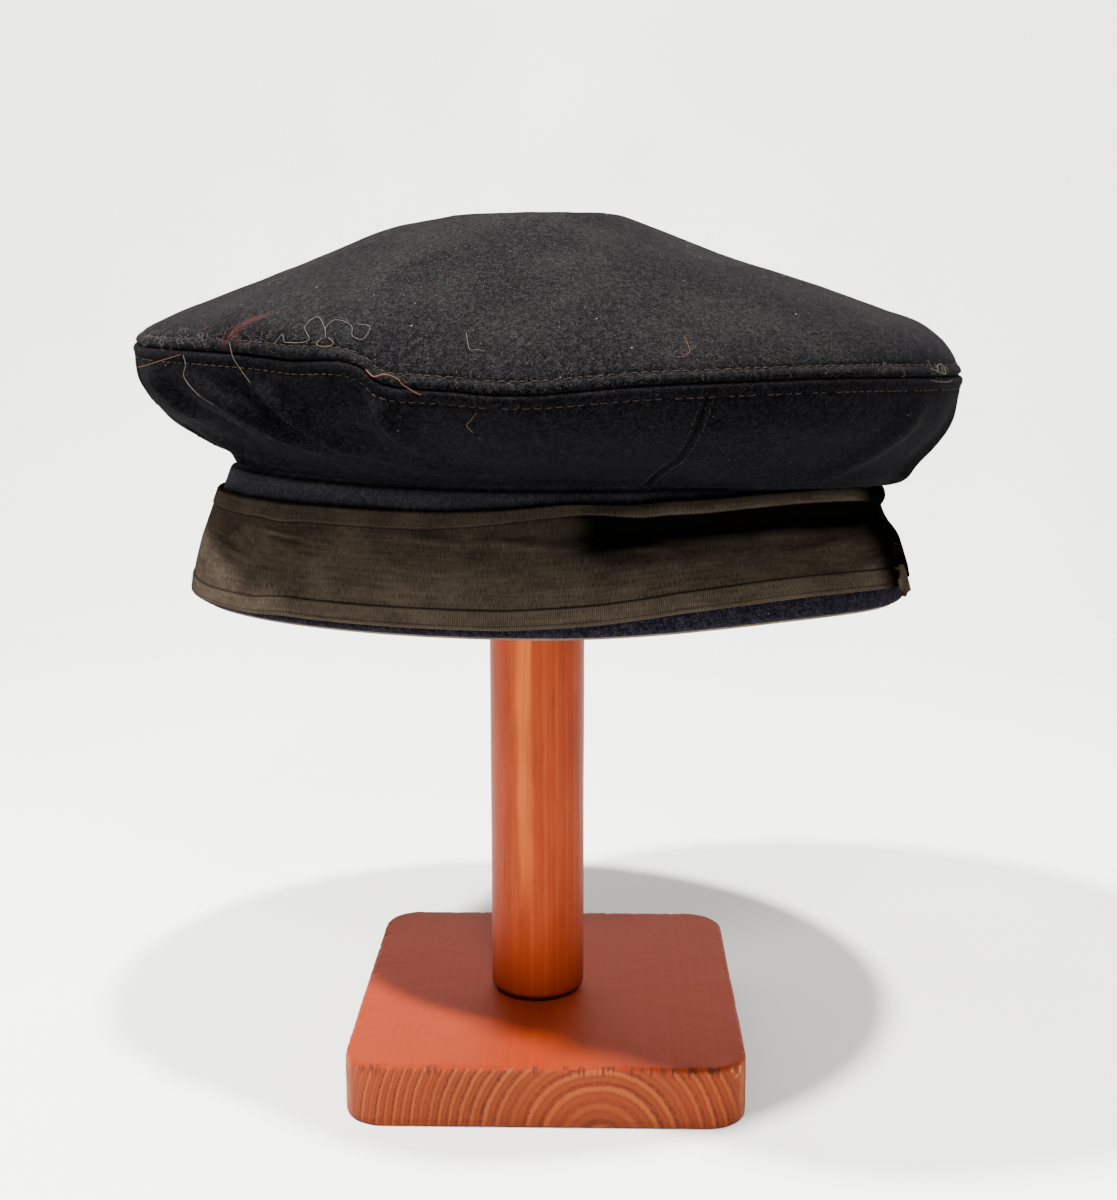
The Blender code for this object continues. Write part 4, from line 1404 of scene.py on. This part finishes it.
# %% [markdown]
# ## Lint and loose threads
#
# Dark wool gathers lint. Some of it is short pale fibres strewn over the crown, some is in curls near the left of
# the seam, and a few longer threads lie on the cloth or hang from worn stitches. Each fibre is a thin curved tube
# that lies on the cloth: its points are given by bearing and level, and the nearest places of the finished cloth
# carry them, so the fibres follow every fold.

# %% Places on the finished wool
def nearest(values, wanted):
    return int(np.argmin(np.abs(values - wanted)))


def on_cap(bearing, level):
    """A place on the crown or the side, and the way out there."""
    angle = math.radians((bearing + 180.0) % 360.0 - 180.0)
    if level <= 1.0:
        column = int(round((angle + math.pi) / FULL_TURN * CROWN_COLUMNS)) % CROWN_COLUMNS
        row = nearest(crown_level[:, column], level)
        return crown_outer[row, column], crown_normals[row, column]
    for angles, levels, outer, ways in panel_tables:
        turned = angle + (FULL_TURN if angle < angles.min() else 0)
        row = nearest(levels[:, levels.shape[1] // 2], level)
        if angles[row, 0] <= turned <= angles[row, -1]:
            column = nearest(angles[row], turned)
            row = nearest(levels[:, column], level)
            return outer[row, column], ways[row, column]
    raise ValueError((bearing, level))


def smooth_path(points, count):
    """A smooth curve of this many points through the given ones."""
    points = np.asarray(points)
    held = np.concatenate([[2 * points[0] - points[1]], points, [2 * points[-1] - points[-2]]])
    at = np.linspace(0, len(points) - 1, count)
    number = np.minimum(at.astype(int), len(points) - 2)
    share = (at - number)[:, None]
    before, start, end, after = (held[number + step] for step in range(4))
    bend = (2 * before - 5 * start + 4 * end - after) * share**2 + (3 * start - before - 3 * end + after) * share**3
    return start + 0.5 * ((end - before) * share + bend)


print("places on the wool ready")

# %% Lint material
FIBRE_COLOURS = ((0.0, (0.022, 0.021, 0.022)), (0.35, (0.048, 0.042, 0.038)), (0.60, (0.075, 0.066, 0.056)),
                 (0.78, (0.048, 0.016, 0.013)), (0.90, (0.066, 0.028, 0.015)), (1.0, (0.090, 0.074, 0.050)))


def fibre_material():
    """Fibres whose colour follows their map value, from grey over tan to red, rust and straw."""
    material, tree, shader = new_material("lint_fibres", Roughness=0.8, Specular_IOR_Level=0.05)
    ramp = tree.nodes.new("ShaderNodeValToRGB")
    while len(ramp.color_ramp.elements) < len(FIBRE_COLOURS):
        ramp.color_ramp.elements.new(0.5)
    for element, (place, colour) in zip(ramp.color_ramp.elements, FIBRE_COLOURS):
        element.position = place
        element.color = (*colour, 1.0)
    feed(ramp.inputs["Fac"], cloth_map(tree).parts()[0])
    mottled = place_in_metres(tree).noise(1200.0).step(0.2, 0.8)
    paint(shader, mix(mottled * 0.35, Value(ramp.outputs["Color"]), (0.020, 0.017, 0.015)))
    return material


lint_fibres = fibre_material()
print("lint:", lint_fibres.name)

# %% Curled fibre
def curled_fibre(place, way, length, curl, lift, radius, draw):
    """A short fibre that lies at a place, bent by a curl in radians, with its middle lifted off the cloth."""
    side = unit(np.cross(way, np.array([draw.uniform(-1, 1), draw.uniform(-1, 1), draw.uniform(-1, 1)])))
    other = np.cross(way, side)
    count = 9 if abs(curl) > 2 else 5
    steps = np.linspace(-0.5, 0.5, count)
    turns = curl * steps + draw.uniform(-0.3, 0.3)
    run = np.stack([np.cos(turns), np.sin(turns)], axis=-1) * length / (count - 1)
    flat = np.concatenate([[[0.0, 0.0]], np.cumsum(run[:-1], axis=0)])
    flat -= flat.mean(axis=0)
    rise = lift * (1 - (2 * steps) ** 2) + 0.00015
    return tube(place + side * flat[:, :1] + other * flat[:, 1:] + way * rise[:, None], radius, 3)


print("curled fibre ready")

# %% Patches of lint
LintPatch = namedtuple("LintPatch", "bearing level bearing_spread level_spread count tint")
LINT_PATCHES = (
    LintPatch(-54.0, 0.86, 12.0, 0.10, 44, 0.50),
    LintPatch(-47.0, 0.80, 6.0, 0.08, 34, 0.78),
    LintPatch(-34.0, 0.72, 6.0, 0.10, 12, 0.45),
    LintPatch(-64.0, 0.90, 10.0, 0.10, 26, 0.60),
    LintPatch(-40.0, 0.55, 14.0, 0.12, 16, 0.45),
    LintPatch(61.0, 0.96, 4.0, 0.05, 16, 0.60),
    LintPatch(46.0, 0.93, 4.0, 0.05, 9, 0.60),
    LintPatch(18.0, 0.72, 3.0, 0.05, 8, 0.45),
    LintPatch(-3.0, 0.42, 14.0, 0.20, 26, 0.80),
    LintPatch(178.0, 0.80, 30.0, 0.15, 20, 0.45),
    LintPatch(110.0, 0.95, 14.0, 0.08, 14, 0.50),
)
print(len(LINT_PATCHES), "patches of lint")

# %% Strewn fibres
STREWN_COUNT = 1100
STREWN_TINTS = (0.0, 0.1, 0.3, 0.45, 0.78, 0.90)
lint_draw = random.Random(93)

lint_tubes, lint_values = [], []
for _ in range(STREWN_COUNT):
    share = math.sqrt(lint_draw.random())
    bearing = lint_draw.uniform(-180, 180)
    level = 0.05 + 0.95 * share if lint_draw.random() < 0.72 else lint_draw.uniform(1.05, 1.9)
    length = lint_draw.uniform(0.0006, 0.0022)
    lint_tubes.append(curled_fibre(*on_cap(bearing, level), length, lint_draw.uniform(-2.4, 2.4),
                                   lint_draw.uniform(0, 0.0004), lint_draw.uniform(0.000018, 0.000032), lint_draw))
    lint_values.append(lint_draw.choice(STREWN_TINTS))
for patch in LINT_PATCHES:
    for _ in range(patch.count):
        bearing = patch.bearing + lint_draw.gauss(0, 0.5) * patch.bearing_spread
        level = min(0.995, patch.level + lint_draw.gauss(0, 0.5) * patch.level_spread)
        length = lint_draw.uniform(0.0015, 0.0055)
        lint_tubes.append(curled_fibre(*on_cap(bearing, level), length, lint_draw.uniform(-5.0, 5.0),
                                       lint_draw.uniform(0.0001, 0.0009), lint_draw.uniform(0.000018, 0.000034),
                                       lint_draw))
        lint_values.append(min(1.0, max(0.0, patch.tint + lint_draw.uniform(-0.12, 0.12))))
add_tubes("lint_on_wool", lint_tubes, lint_fibres, lint_values)
print(len(lint_tubes), "fibres")

# %% Loose threads
LooseThread = namedtuple("LooseThread", "radius tint places")
LOOSE_THREADS = (
    LooseThread(0.00028, 0.90, ((-21.5, 0.964, 0.3), (-20.0, 0.955, 0.8), (-18.5, 0.90, 1.0), (-17.5, 0.875, 0.7))),
    LooseThread(0.00014, 0.90, ((-17.5, 0.875, 0.7), (-16.3, 0.93, 1.2), (-15.5, 0.98, 1.6), (-14.6, 1.02, 1.0),
                                (-13.5, 1.05, 0.5))),
    LooseThread(0.00012, 0.88, ((-68.5, 1.094, 0.4), (-64.5, 1.08, 1.4), (-61.0, 1.062, 1.2), (-55.0, 1.021, 0.5))),
    LooseThread(0.00011, 0.62, ((-54.5, 1.021, 0.6), (-54.2, 1.07, 1.2), (-54.0, 1.125, 0.8), (-52.0, 1.198, 0.6),
                                (-49.5, 1.260, 0.3))),
    LooseThread(0.00010, 0.66, ((-46.0, 0.857, 0.4), (-45.0, 0.95, 1.4), (-44.0, 1.031, 1.2), (-42.0, 1.146, 0.4))),
    LooseThread(0.000085, 0.60, ((-37.5, 0.81, 0.3), (-36.5, 0.738, 0.5), (-35.4, 0.79, 0.6), (-34.5, 0.798, 0.5),
                                 (-33.0, 0.774, 0.5), (-31.5, 0.738, 0.9), (-33.0, 0.679, 0.8), (-32.5, 0.631, 0.6),
                                 (-30.0, 0.667, 0.8), (-29.0, 0.700, 0.5))),
    LooseThread(0.00011, 0.95, ((-29.4, 0.715, 0.5), (-30.0, 0.775, 0.7), (-28.0, 0.786, 0.8), (-27.0, 0.750, 0.7),
                                (-28.4, 0.705, 0.5))),
    LooseThread(0.000085, 0.62, ((-30.0, 0.667, 0.6), (-29.5, 0.631, 0.8), (-27.5, 0.628, 0.8), (-25.6, 0.655, 0.6),
                                 (-24.5, 0.700, 0.6), (-22.7, 0.700, 0.7), (-22.5, 0.645, 0.8), (-25.0, 0.631, 0.5))),
    LooseThread(0.000085, 0.60, ((-9.0, 0.643, 0.3), (-8.2, 0.70, 0.6), (-7.0, 0.702, 0.6), (-6.0, 0.714, 0.3))),
    LooseThread(0.00010, 0.92, ((-7.0, 1.156, 0.3), (-7.8, 1.20, 0.7), (-8.0, 1.229, 0.6), (-7.5, 1.271, 0.3))),
    LooseThread(0.00009, 0.90, ((19.0, 0.655, 0.3), (18.4, 0.72, 0.7), (17.4, 0.76, 0.5), (16.5, 0.774, 0.2))),
    LooseThread(0.00013, 0.66, ((58.0, 0.950, 0.4), (60.0, 0.985, 1.2), (62.5, 0.990, 1.3), (63.0, 0.930, 0.9),
                                (60.5, 0.935, 0.9), (59.5, 0.975, 0.6))),
    LooseThread(0.00012, 0.70, ((57.0, 1.02, 0.5), (60.0, 1.045, 1.0), (63.0, 1.040, 0.8), (66.0, 1.03, 0.3))),
)
thread_tubes = []
for thread in LOOSE_THREADS:
    stations = []
    for bearing, level, lift in thread.places:
        place, way = on_cap(bearing, level)
        stations.append(place + way * lift * 0.001)
    thread_tubes.append(tube(smooth_path(stations, 9 * len(stations)), thread.radius * 0.75, 6))
add_tubes("loose_threads", thread_tubes, lint_fibres, [thread.tint for thread in LOOSE_THREADS])
print(len(thread_tubes), "loose threads")

# %% [markdown]
# ## Stained softwood
#
# The stand is of a softwood such as fir or pine, stained red-orange. The growth rings are cylinders round the
# tree's heart, so one node group makes them: it takes the distance from the heart's axis, bends it with noise, and
# turns it into a pale band and a thin dark line a ring. The end grain of the board shows them as arcs, and along
# its faces they become faint straight lines. The rings are wider near the heart, so the count grows with distance.

# %% Growth ring and pore groups
RINGS_LINEAR = 97.4
RINGS_SQUARE = 2200.0


def rings_group():
    radius, place, contrast, wood, pale_wood, dark_wood = new_group(
        "growth_rings", Radius="Float", Place="Vector", Contrast="Float", Wood="Color", Pale="Color", Line="Color")
    bend = (place.noise(28.0) - 0.5) * 0.0032
    shake = (place.noise(420.0, 3.0, 0.6) - 0.5) * 0.0010
    radius = radius + (bend + shake)
    phase = radius * (radius * RINGS_SQUARE + RINGS_LINEAR)
    share = maths("FRACT", phase)
    vary = add_node(place.tree, "TexWhiteNoise", {"W": maths("FLOOR", phase)}, "Value", noise_dimensions="1D")
    rough = place.noise(1100.0, 3.0, 0.7).step(0.36, 0.58)
    pale = share.step(0.26, 0.52) * share.step(0.74, 0.58) * (vary * 0.9 + 0.3) * contrast
    line = share.step(0.60, 0.80) * share.step(1.0, 0.90) * (vary * 0.6 + 0.4)
    second = share.step(0.18, 0.26) * share.step(0.40, 0.28)
    line = maths("MAXIMUM", line, second * 0.35) * (rough * 0.75 + 0.25) * contrast
    return finish_group(Colour=mix(line, mix(pale, wood, pale_wood), dark_wood), Mask=line)


def pores_group():
    place, strength, colour, pore = new_group("wood_pores", Place="Vector", Strength="Float", Colour="Color",
                                              Pore="Color")
    streak = place.noise(1.0, 4.0, 0.65)
    return finish_group(Colour=mix(streak.step(0.50, 0.78) * strength, colour, pore), Height=streak)


def distance_from_axis(place, along, *point):
    """The distance from an axis through this point, along X, Y or Z."""
    keep = tuple(0.0 if axis == along else 1.0 for axis in "XYZ")
    flat = vector_maths("MULTIPLY", vector_maths("SUBTRACT", place, point), keep)
    return vector_maths("LENGTH", flat, output="Value")


GROWTH_RINGS = rings_group()
WOOD_PORES = pores_group()
print("groups:", GROWTH_RINGS.name, WOOD_PORES.name)

# %% Base wood
HEART_ACROSS = 0.0175
HEART_HEIGHT = -0.0045
END_WOOD = (0.140, 0.0270, 0.0100)
END_PALE = (0.205, 0.0500, 0.0145)
END_LINE = (0.060, 0.0135, 0.0080)
TOP_WOOD = (0.190, 0.0185, 0.0028)
BASE_PORE = (0.085, 0.016, 0.0070)
BASE_BLOTCH = (0.235, 0.034, 0.0065)
NICK_WOOD = (0.060, 0.0150, 0.0085)
WORN_WOOD = (0.36, 0.12, 0.032)
CHIPPED_CORNER = (0.0635, -0.0625, 0.0190)
CHIP_WOOD = (0.30, 0.135, 0.065)


def base_wood():
    """Flat grain on the top, end grain with arcs in front, nicks along its upper arris and worn corners."""
    material, tree, shader = new_material("base_wood", Roughness=0.65, Specular_IOR_Level=0.05)
    place = place_in_metres(tree)
    x, y, z = place.parts()
    _, facing_y, facing_z = add_node(tree, "NewGeometry", output="Normal").parts()
    end = abs(facing_y).step(0.55, 0.80)
    rings = use_group(
        GROWTH_RINGS, Radius=distance_from_axis(place, "Y", HEART_ACROSS, 0.0, HEART_HEIGHT),
        Place=place.stretched(1.0, 0.12, 1.0), Contrast=end * 0.93 + 0.07,
        Wood=mix(facing_z.step(0.30, 0.85), END_WOOD, TOP_WOOD), Pale=END_PALE, Line=END_LINE,
    )
    grain = mix(end, (1500.0, 60.0, 1500.0), (900.0, 900.0, 900.0))
    pores = use_group(WOOD_PORES, Place=vector_maths("MULTIPLY", place, grain), Colour=rings,
                      Strength=end * 0.35 + 0.25, Pore=BASE_PORE)
    colour = mix(place.noise(26.0, 3.0, 0.55).step(0.30, 0.72) * 0.20, pores, BASE_BLOTCH)
    tear = place.stretched(620.0, 200.0, 60.0).noise(1.0, 2.0, 0.6)
    patch = place.stretched(40.0, 40.0, 10.0).noise(1.0)
    front_arris = z.step(0.0165, 0.0192) * y.step(-0.0600, -0.0628)
    nick = tear.step(0.54, 0.62) * front_arris * (patch.step(0.34, 0.50) * 0.9)
    colour = mix(nick, colour, NICK_WOOD)
    chips = place.noise(300.0, 4.0, 0.6).step(0.42, 0.62)
    beside = maths("ADD", x.step(-0.0600, -0.0632), x.step(0.0600, 0.0632), clamp=True)
    colour = mix(beside * (chips * 0.5 + 0.25) * abs(y).step(0.0535, 0.0580), colour, WORN_WOOD)
    chip = vector_maths("DISTANCE", place, CHIPPED_CORNER, output="Value") + (chips - 0.5) * 0.004
    colour = mix(chip.step(0.0042, 0.0030), colour, CHIP_WOOD)
    feed(shader.inputs["Roughness"], end * 0.15 + 0.60)
    height = pores.output("Height") * 0.6 - nick * 1.5 - rings.output("Mask") * 0.02
    paint(shader, colour, height, 0.00016, 0.5)
    return material


base_finish = base_wood()
print("wood:", base_finish.name)

# %% Post wood
POST_WOOD = (0.25, 0.0335, 0.0068)
POST_PALE = (0.40, 0.086, 0.0165)
POST_LINE = (0.090, 0.0085, 0.0020)
POST_PORE = (0.085, 0.009, 0.0025)
POST_STREAK = (0.62, 0.15, 0.024)
POST_PAINTED_SHADE_AND_BLOTCH = (0.12, 0.0105, 0.0022)
POST_FOOT = (0.22, 0.015, 0.0015)
POST_JOINT = (0.05, 0.010, 0.006)


def post_wood():
    """Upright grain with a pale streak in front, painted shade at the right, and darker towards the foot."""
    material, tree, shader = new_material(
        "post_wood", Roughness=0.50, Specular_IOR_Level=0.05, Coat_Weight=0.01, Coat_Roughness=0.30,
    )
    place = place_in_metres(tree)
    x, _, z = place.parts()
    heart = distance_from_axis(place, "Z", POST_CENTRE.x + 0.034, POST_CENTRE.y + 0.020, 0.0)
    rings = use_group(GROWTH_RINGS, Radius=heart, Place=place.stretched(1.0, 1.0, 0.10), Contrast=0.22,
                      Wood=POST_WOOD, Pale=POST_PALE, Line=POST_LINE)
    pores = use_group(WOOD_PORES, Place=place.stretched(1600.0, 1600.0, 42.0), Colour=rings, Strength=0.55,
                      Pore=POST_PORE)
    wander = place.stretched(60.0, 60.0, 9.0).noise(1.0, 3.0, 0.6)
    fibres = place.stretched(1100.0, 1100.0, 26.0).noise(1.0, 3.0, 0.6)
    streak = abs(x - (POST_CENTRE.x - 0.0035) - (wander - 0.5) * 0.012).step(0.0042, 0.0008)
    streak = streak * z.step(0.045, 0.085) * (fibres * 0.9 + 0.15)
    colour = mix(streak * 0.8, pores, POST_STREAK)
    # Painted shade: the post's right side is darkened by position, together with random dark blotches in the wood.
    painted_shade_right = (x - POST_CENTRE.x).step(0.002, 0.014)
    blotch = place.stretched(70.0, 70.0, 22.0).noise(1.0, 3.0, 0.6).step(0.42, 0.68)
    colour = mix(painted_shade_right * 0.35 + blotch * 0.30, colour, POST_PAINTED_SHADE_AND_BLOTCH)
    colour = mix(z.step(0.060, 0.024) * 0.45, colour, POST_FOOT)
    colour = mix(z.step(0.0232, 0.0218) * 0.85, colour, POST_JOINT)
    paint(shader, colour, pores.output("Height"), 0.00018, 0.35)
    return material


post_finish = post_wood()
print("wood:", post_finish.name)

# %% [markdown]
# ## The stand
#
# The base is a square board with round corners and slightly worn arrises, and the post is a turned dowel glued to
# it, with a small chamfer at its foot. Both are made here as rows of points round their outline, which follow the
# solids, moved in and out a few tenths of a millimetre by noise, as no hand-finished edge is quite true. The disc
# inside the crown is right as it is, and only gets the wood.

# %% Outline of the base
CORNER_RADIUS = 0.013
BASE_COLUMNS = 440


def rounded_square(half, radius, columns):
    """Points round a square with round corners, from the middle of the front, and the way out at each."""
    run = 2 * (half - radius)
    arc = radius * math.pi / 2
    places, ways = [], []
    for number in range(columns):
        side, rest = divmod(4 * (run + arc) * number / columns + run / 2, run + arc)
        if rest < run:
            place, way = np.array([rest - run / 2, -half]), np.array([0.0, -1.0])
        else:
            turn = (rest - run) / radius
            way = np.array([math.sin(turn), -math.cos(turn)])
            place = np.array([half - radius, radius - half]) + way * radius
        cosine, sine = math.cos(side * math.pi / 2), math.sin(side * math.pi / 2)
        turn_to_side = np.array([[cosine, -sine], [sine, cosine]])
        places.append(turn_to_side @ place)
        ways.append(turn_to_side @ way)
    return np.array(places), np.array(ways)


def level_ring(places, height):
    """Points of an outline, all at one height."""
    return np.column_stack([places, np.full(len(places), height)])


half_side = (base_high.x - base_low.x) / 2
outline, outline_ways = rounded_square(half_side, CORNER_RADIUS, BASE_COLUMNS)
print(len(outline), "places round the base")

# %% Base board
ARRIS = 0.0016
TOP_INSET = 0.010

profile = [(ARRIS * 0.5, 0.0), (0.0, ARRIS * 0.5)]
profile += [(0.0, height) for height in (0.003, 0.006, 0.009, 0.012, 0.015)]
profile += [(ARRIS * (1 - math.cos(turn)), base_high.z - ARRIS * (1 - math.sin(turn)))
            for turn in np.radians([0, 18, 36, 54, 72, 90])]
profile += [(inset, base_high.z) for inset in (0.0024, 0.0036, 0.006, TOP_INSET)]
board = [level_ring(outline - outline_ways * inset, height) for inset, height in profile]
board += [level_ring((outline - outline_ways * TOP_INSET) * shrink, base_high.z)
          for shrink in (0.80, 0.60, 0.40, 0.20, 0.04)]
board = np.array(board)[::-1]
uneven = 0.00016 * waves(board, 0.018, 21) + 0.00010 * waves(board, 0.0035, 22)
near_edge = step_up(np.abs(board[:, :, :2]).max(axis=2), half_side - 0.003, half_side - 0.001)
at_arris = bell(board[:, :, 2] - base_high.z, 0.0016) * near_edge
nicks = -0.00055 * np.clip(waves(board, 0.0016, 23) - 0.18, 0, 1) * at_arris * 2
sitting = step_up(board[:, :, 2], 0.0005, 0.003)
board = board + grid_normals(board, True) * ((uneven + nicks) * sitting)[:, :, None]
base_board = add_mesh("base_board", board, capped_faces(len(board), BASE_COLUMNS), base_finish)
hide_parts("stand_base")
print("base board:", len(base_board.data.polygons), "faces")

# %% Post
POST_COLUMNS = 120
POST_MIDDLE_RADIUS = 0.001
radius, top, foot = (post_high.x - post_low.x) / 2, post_high.z, post_low.z
post_profile = [(POST_MIDDLE_RADIUS, top), (radius - 0.0010, top), (radius - 0.0003, top - 0.0004),
                (radius, top - 0.0012)]
post_profile += [(radius, height) for height in np.linspace(top - 0.004, foot + 0.0030, 60)]
post_profile += [(radius - 0.00005, foot + 0.0021), (radius - 0.0006, foot + 0.0010), (radius - 0.0016, foot + 0.0001),
                 (radius - 0.0030, foot), (POST_MIDDLE_RADIUS, foot)]
turns = round_angles(POST_COLUMNS)
post_ways = np.column_stack([np.sin(turns), -np.cos(turns)])
dowel = np.array([level_ring(np.array(POST_CENTRE.xy) + out * post_ways, height) for out, height in post_profile])
uneven = 0.00010 * waves(dowel * np.array([1, 1, 0.25]), 0.009, 31)
dowel = dowel + grid_normals(dowel, True) * uneven[:, :, None]
post = add_mesh("post_dowel", dowel, capped_faces(len(dowel), POST_COLUMNS), post_finish)
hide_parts("stand_post")
disc = bpy.data.objects["stand_disc"]
for slot in disc.material_slots:
    slot.material = base_finish
print("post:", len(post.data.polygons), "faces")

# %% [markdown]
# ## Floor, backdrop and light
#
# The cap stands on a pale sweep of paper that curves up behind it. Two small lamps, one high above at the right and
# one at the left, throw the two crossing shadows of the cap on the floor, and a larger and weaker lamp lights the
# front. A pale world fills the rest.

# %% Sweep
PAPER_DARK, PAPER_LIGHT = (0.70, 0.70, 0.69), (0.74, 0.74, 0.73)
SWEEP_HALF_WIDTH = 2.6
SWEEP_BEND = 0.5
SWEEP_BEND_FROM = 0.6


def paper_material():
    material, tree, shader = new_material("pale_paper", Roughness=0.8, Specular_IOR_Level=0.2)
    paint(shader, mix(place_in_metres(tree).noise(6.0).step(0.2, 0.8), PAPER_DARK, PAPER_LIGHT))
    return material


sweep_path = [(-1.2, 0.0), (SWEEP_BEND_FROM, 0.0)]
sweep_path += [(SWEEP_BEND_FROM + SWEEP_BEND * math.sin(turn), SWEEP_BEND * (1 - math.cos(turn)))
               for turn in np.radians([15, 30, 45, 60, 75, 90])]
sweep_path += [(SWEEP_BEND_FROM + SWEEP_BEND, 2.2)]
sweep_points = [(x, y, z) for y, z in sweep_path for x in (-SWEEP_HALF_WIDTH, SWEEP_HALF_WIDTH)]
sweep_faces = [(2 * n, 2 * n + 1, 2 * n + 3, 2 * n + 2) for n in range(len(sweep_path) - 1)]
sweep = add_object("sweep", sweep_points, sweep_faces, paper_material())
print("sweep laid")

# %% Lamps
CAP_MIDDLE = Vector((0.0, 0.0, 0.20))
Lamp = namedtuple("Lamp", "name place size power colour")
LAMPS = (
    Lamp("lamp_above", (0.18, -0.41, 2.37), 0.13, 210.0, (1.0, 0.985, 0.96)),
    Lamp("lamp_left", (-0.43, -0.22, 1.13), 0.07, 60.0, (1.0, 0.985, 0.96)),
    Lamp("lamp_front", (0.09, -0.82, 0.99), 0.22, 11.0, (1.0, 0.97, 0.93)),
)
for lamp in LAMPS:
    data = bpy.data.lights.new(lamp.name, "AREA")
    data.shape = "DISK"
    data.size = lamp.size
    data.energy = lamp.power
    data.color = lamp.colour
    hung = bpy.data.objects.new(lamp.name, data)
    hung.location = lamp.place
    hung.rotation_euler = (CAP_MIDDLE - Vector(lamp.place)).to_track_quat("-Z", "Y").to_euler()
    bpy.context.scene.collection.objects.link(hung)

world = bpy.data.worlds.new("room")
bpy.context.scene.world = world
world.use_nodes = True
background = world.node_tree.nodes["Background"]
background.inputs["Color"].default_value = (0.92, 0.95, 1.0, 1.0)
background.inputs["Strength"].default_value = 0.22
print(len(LAMPS), "lamps")
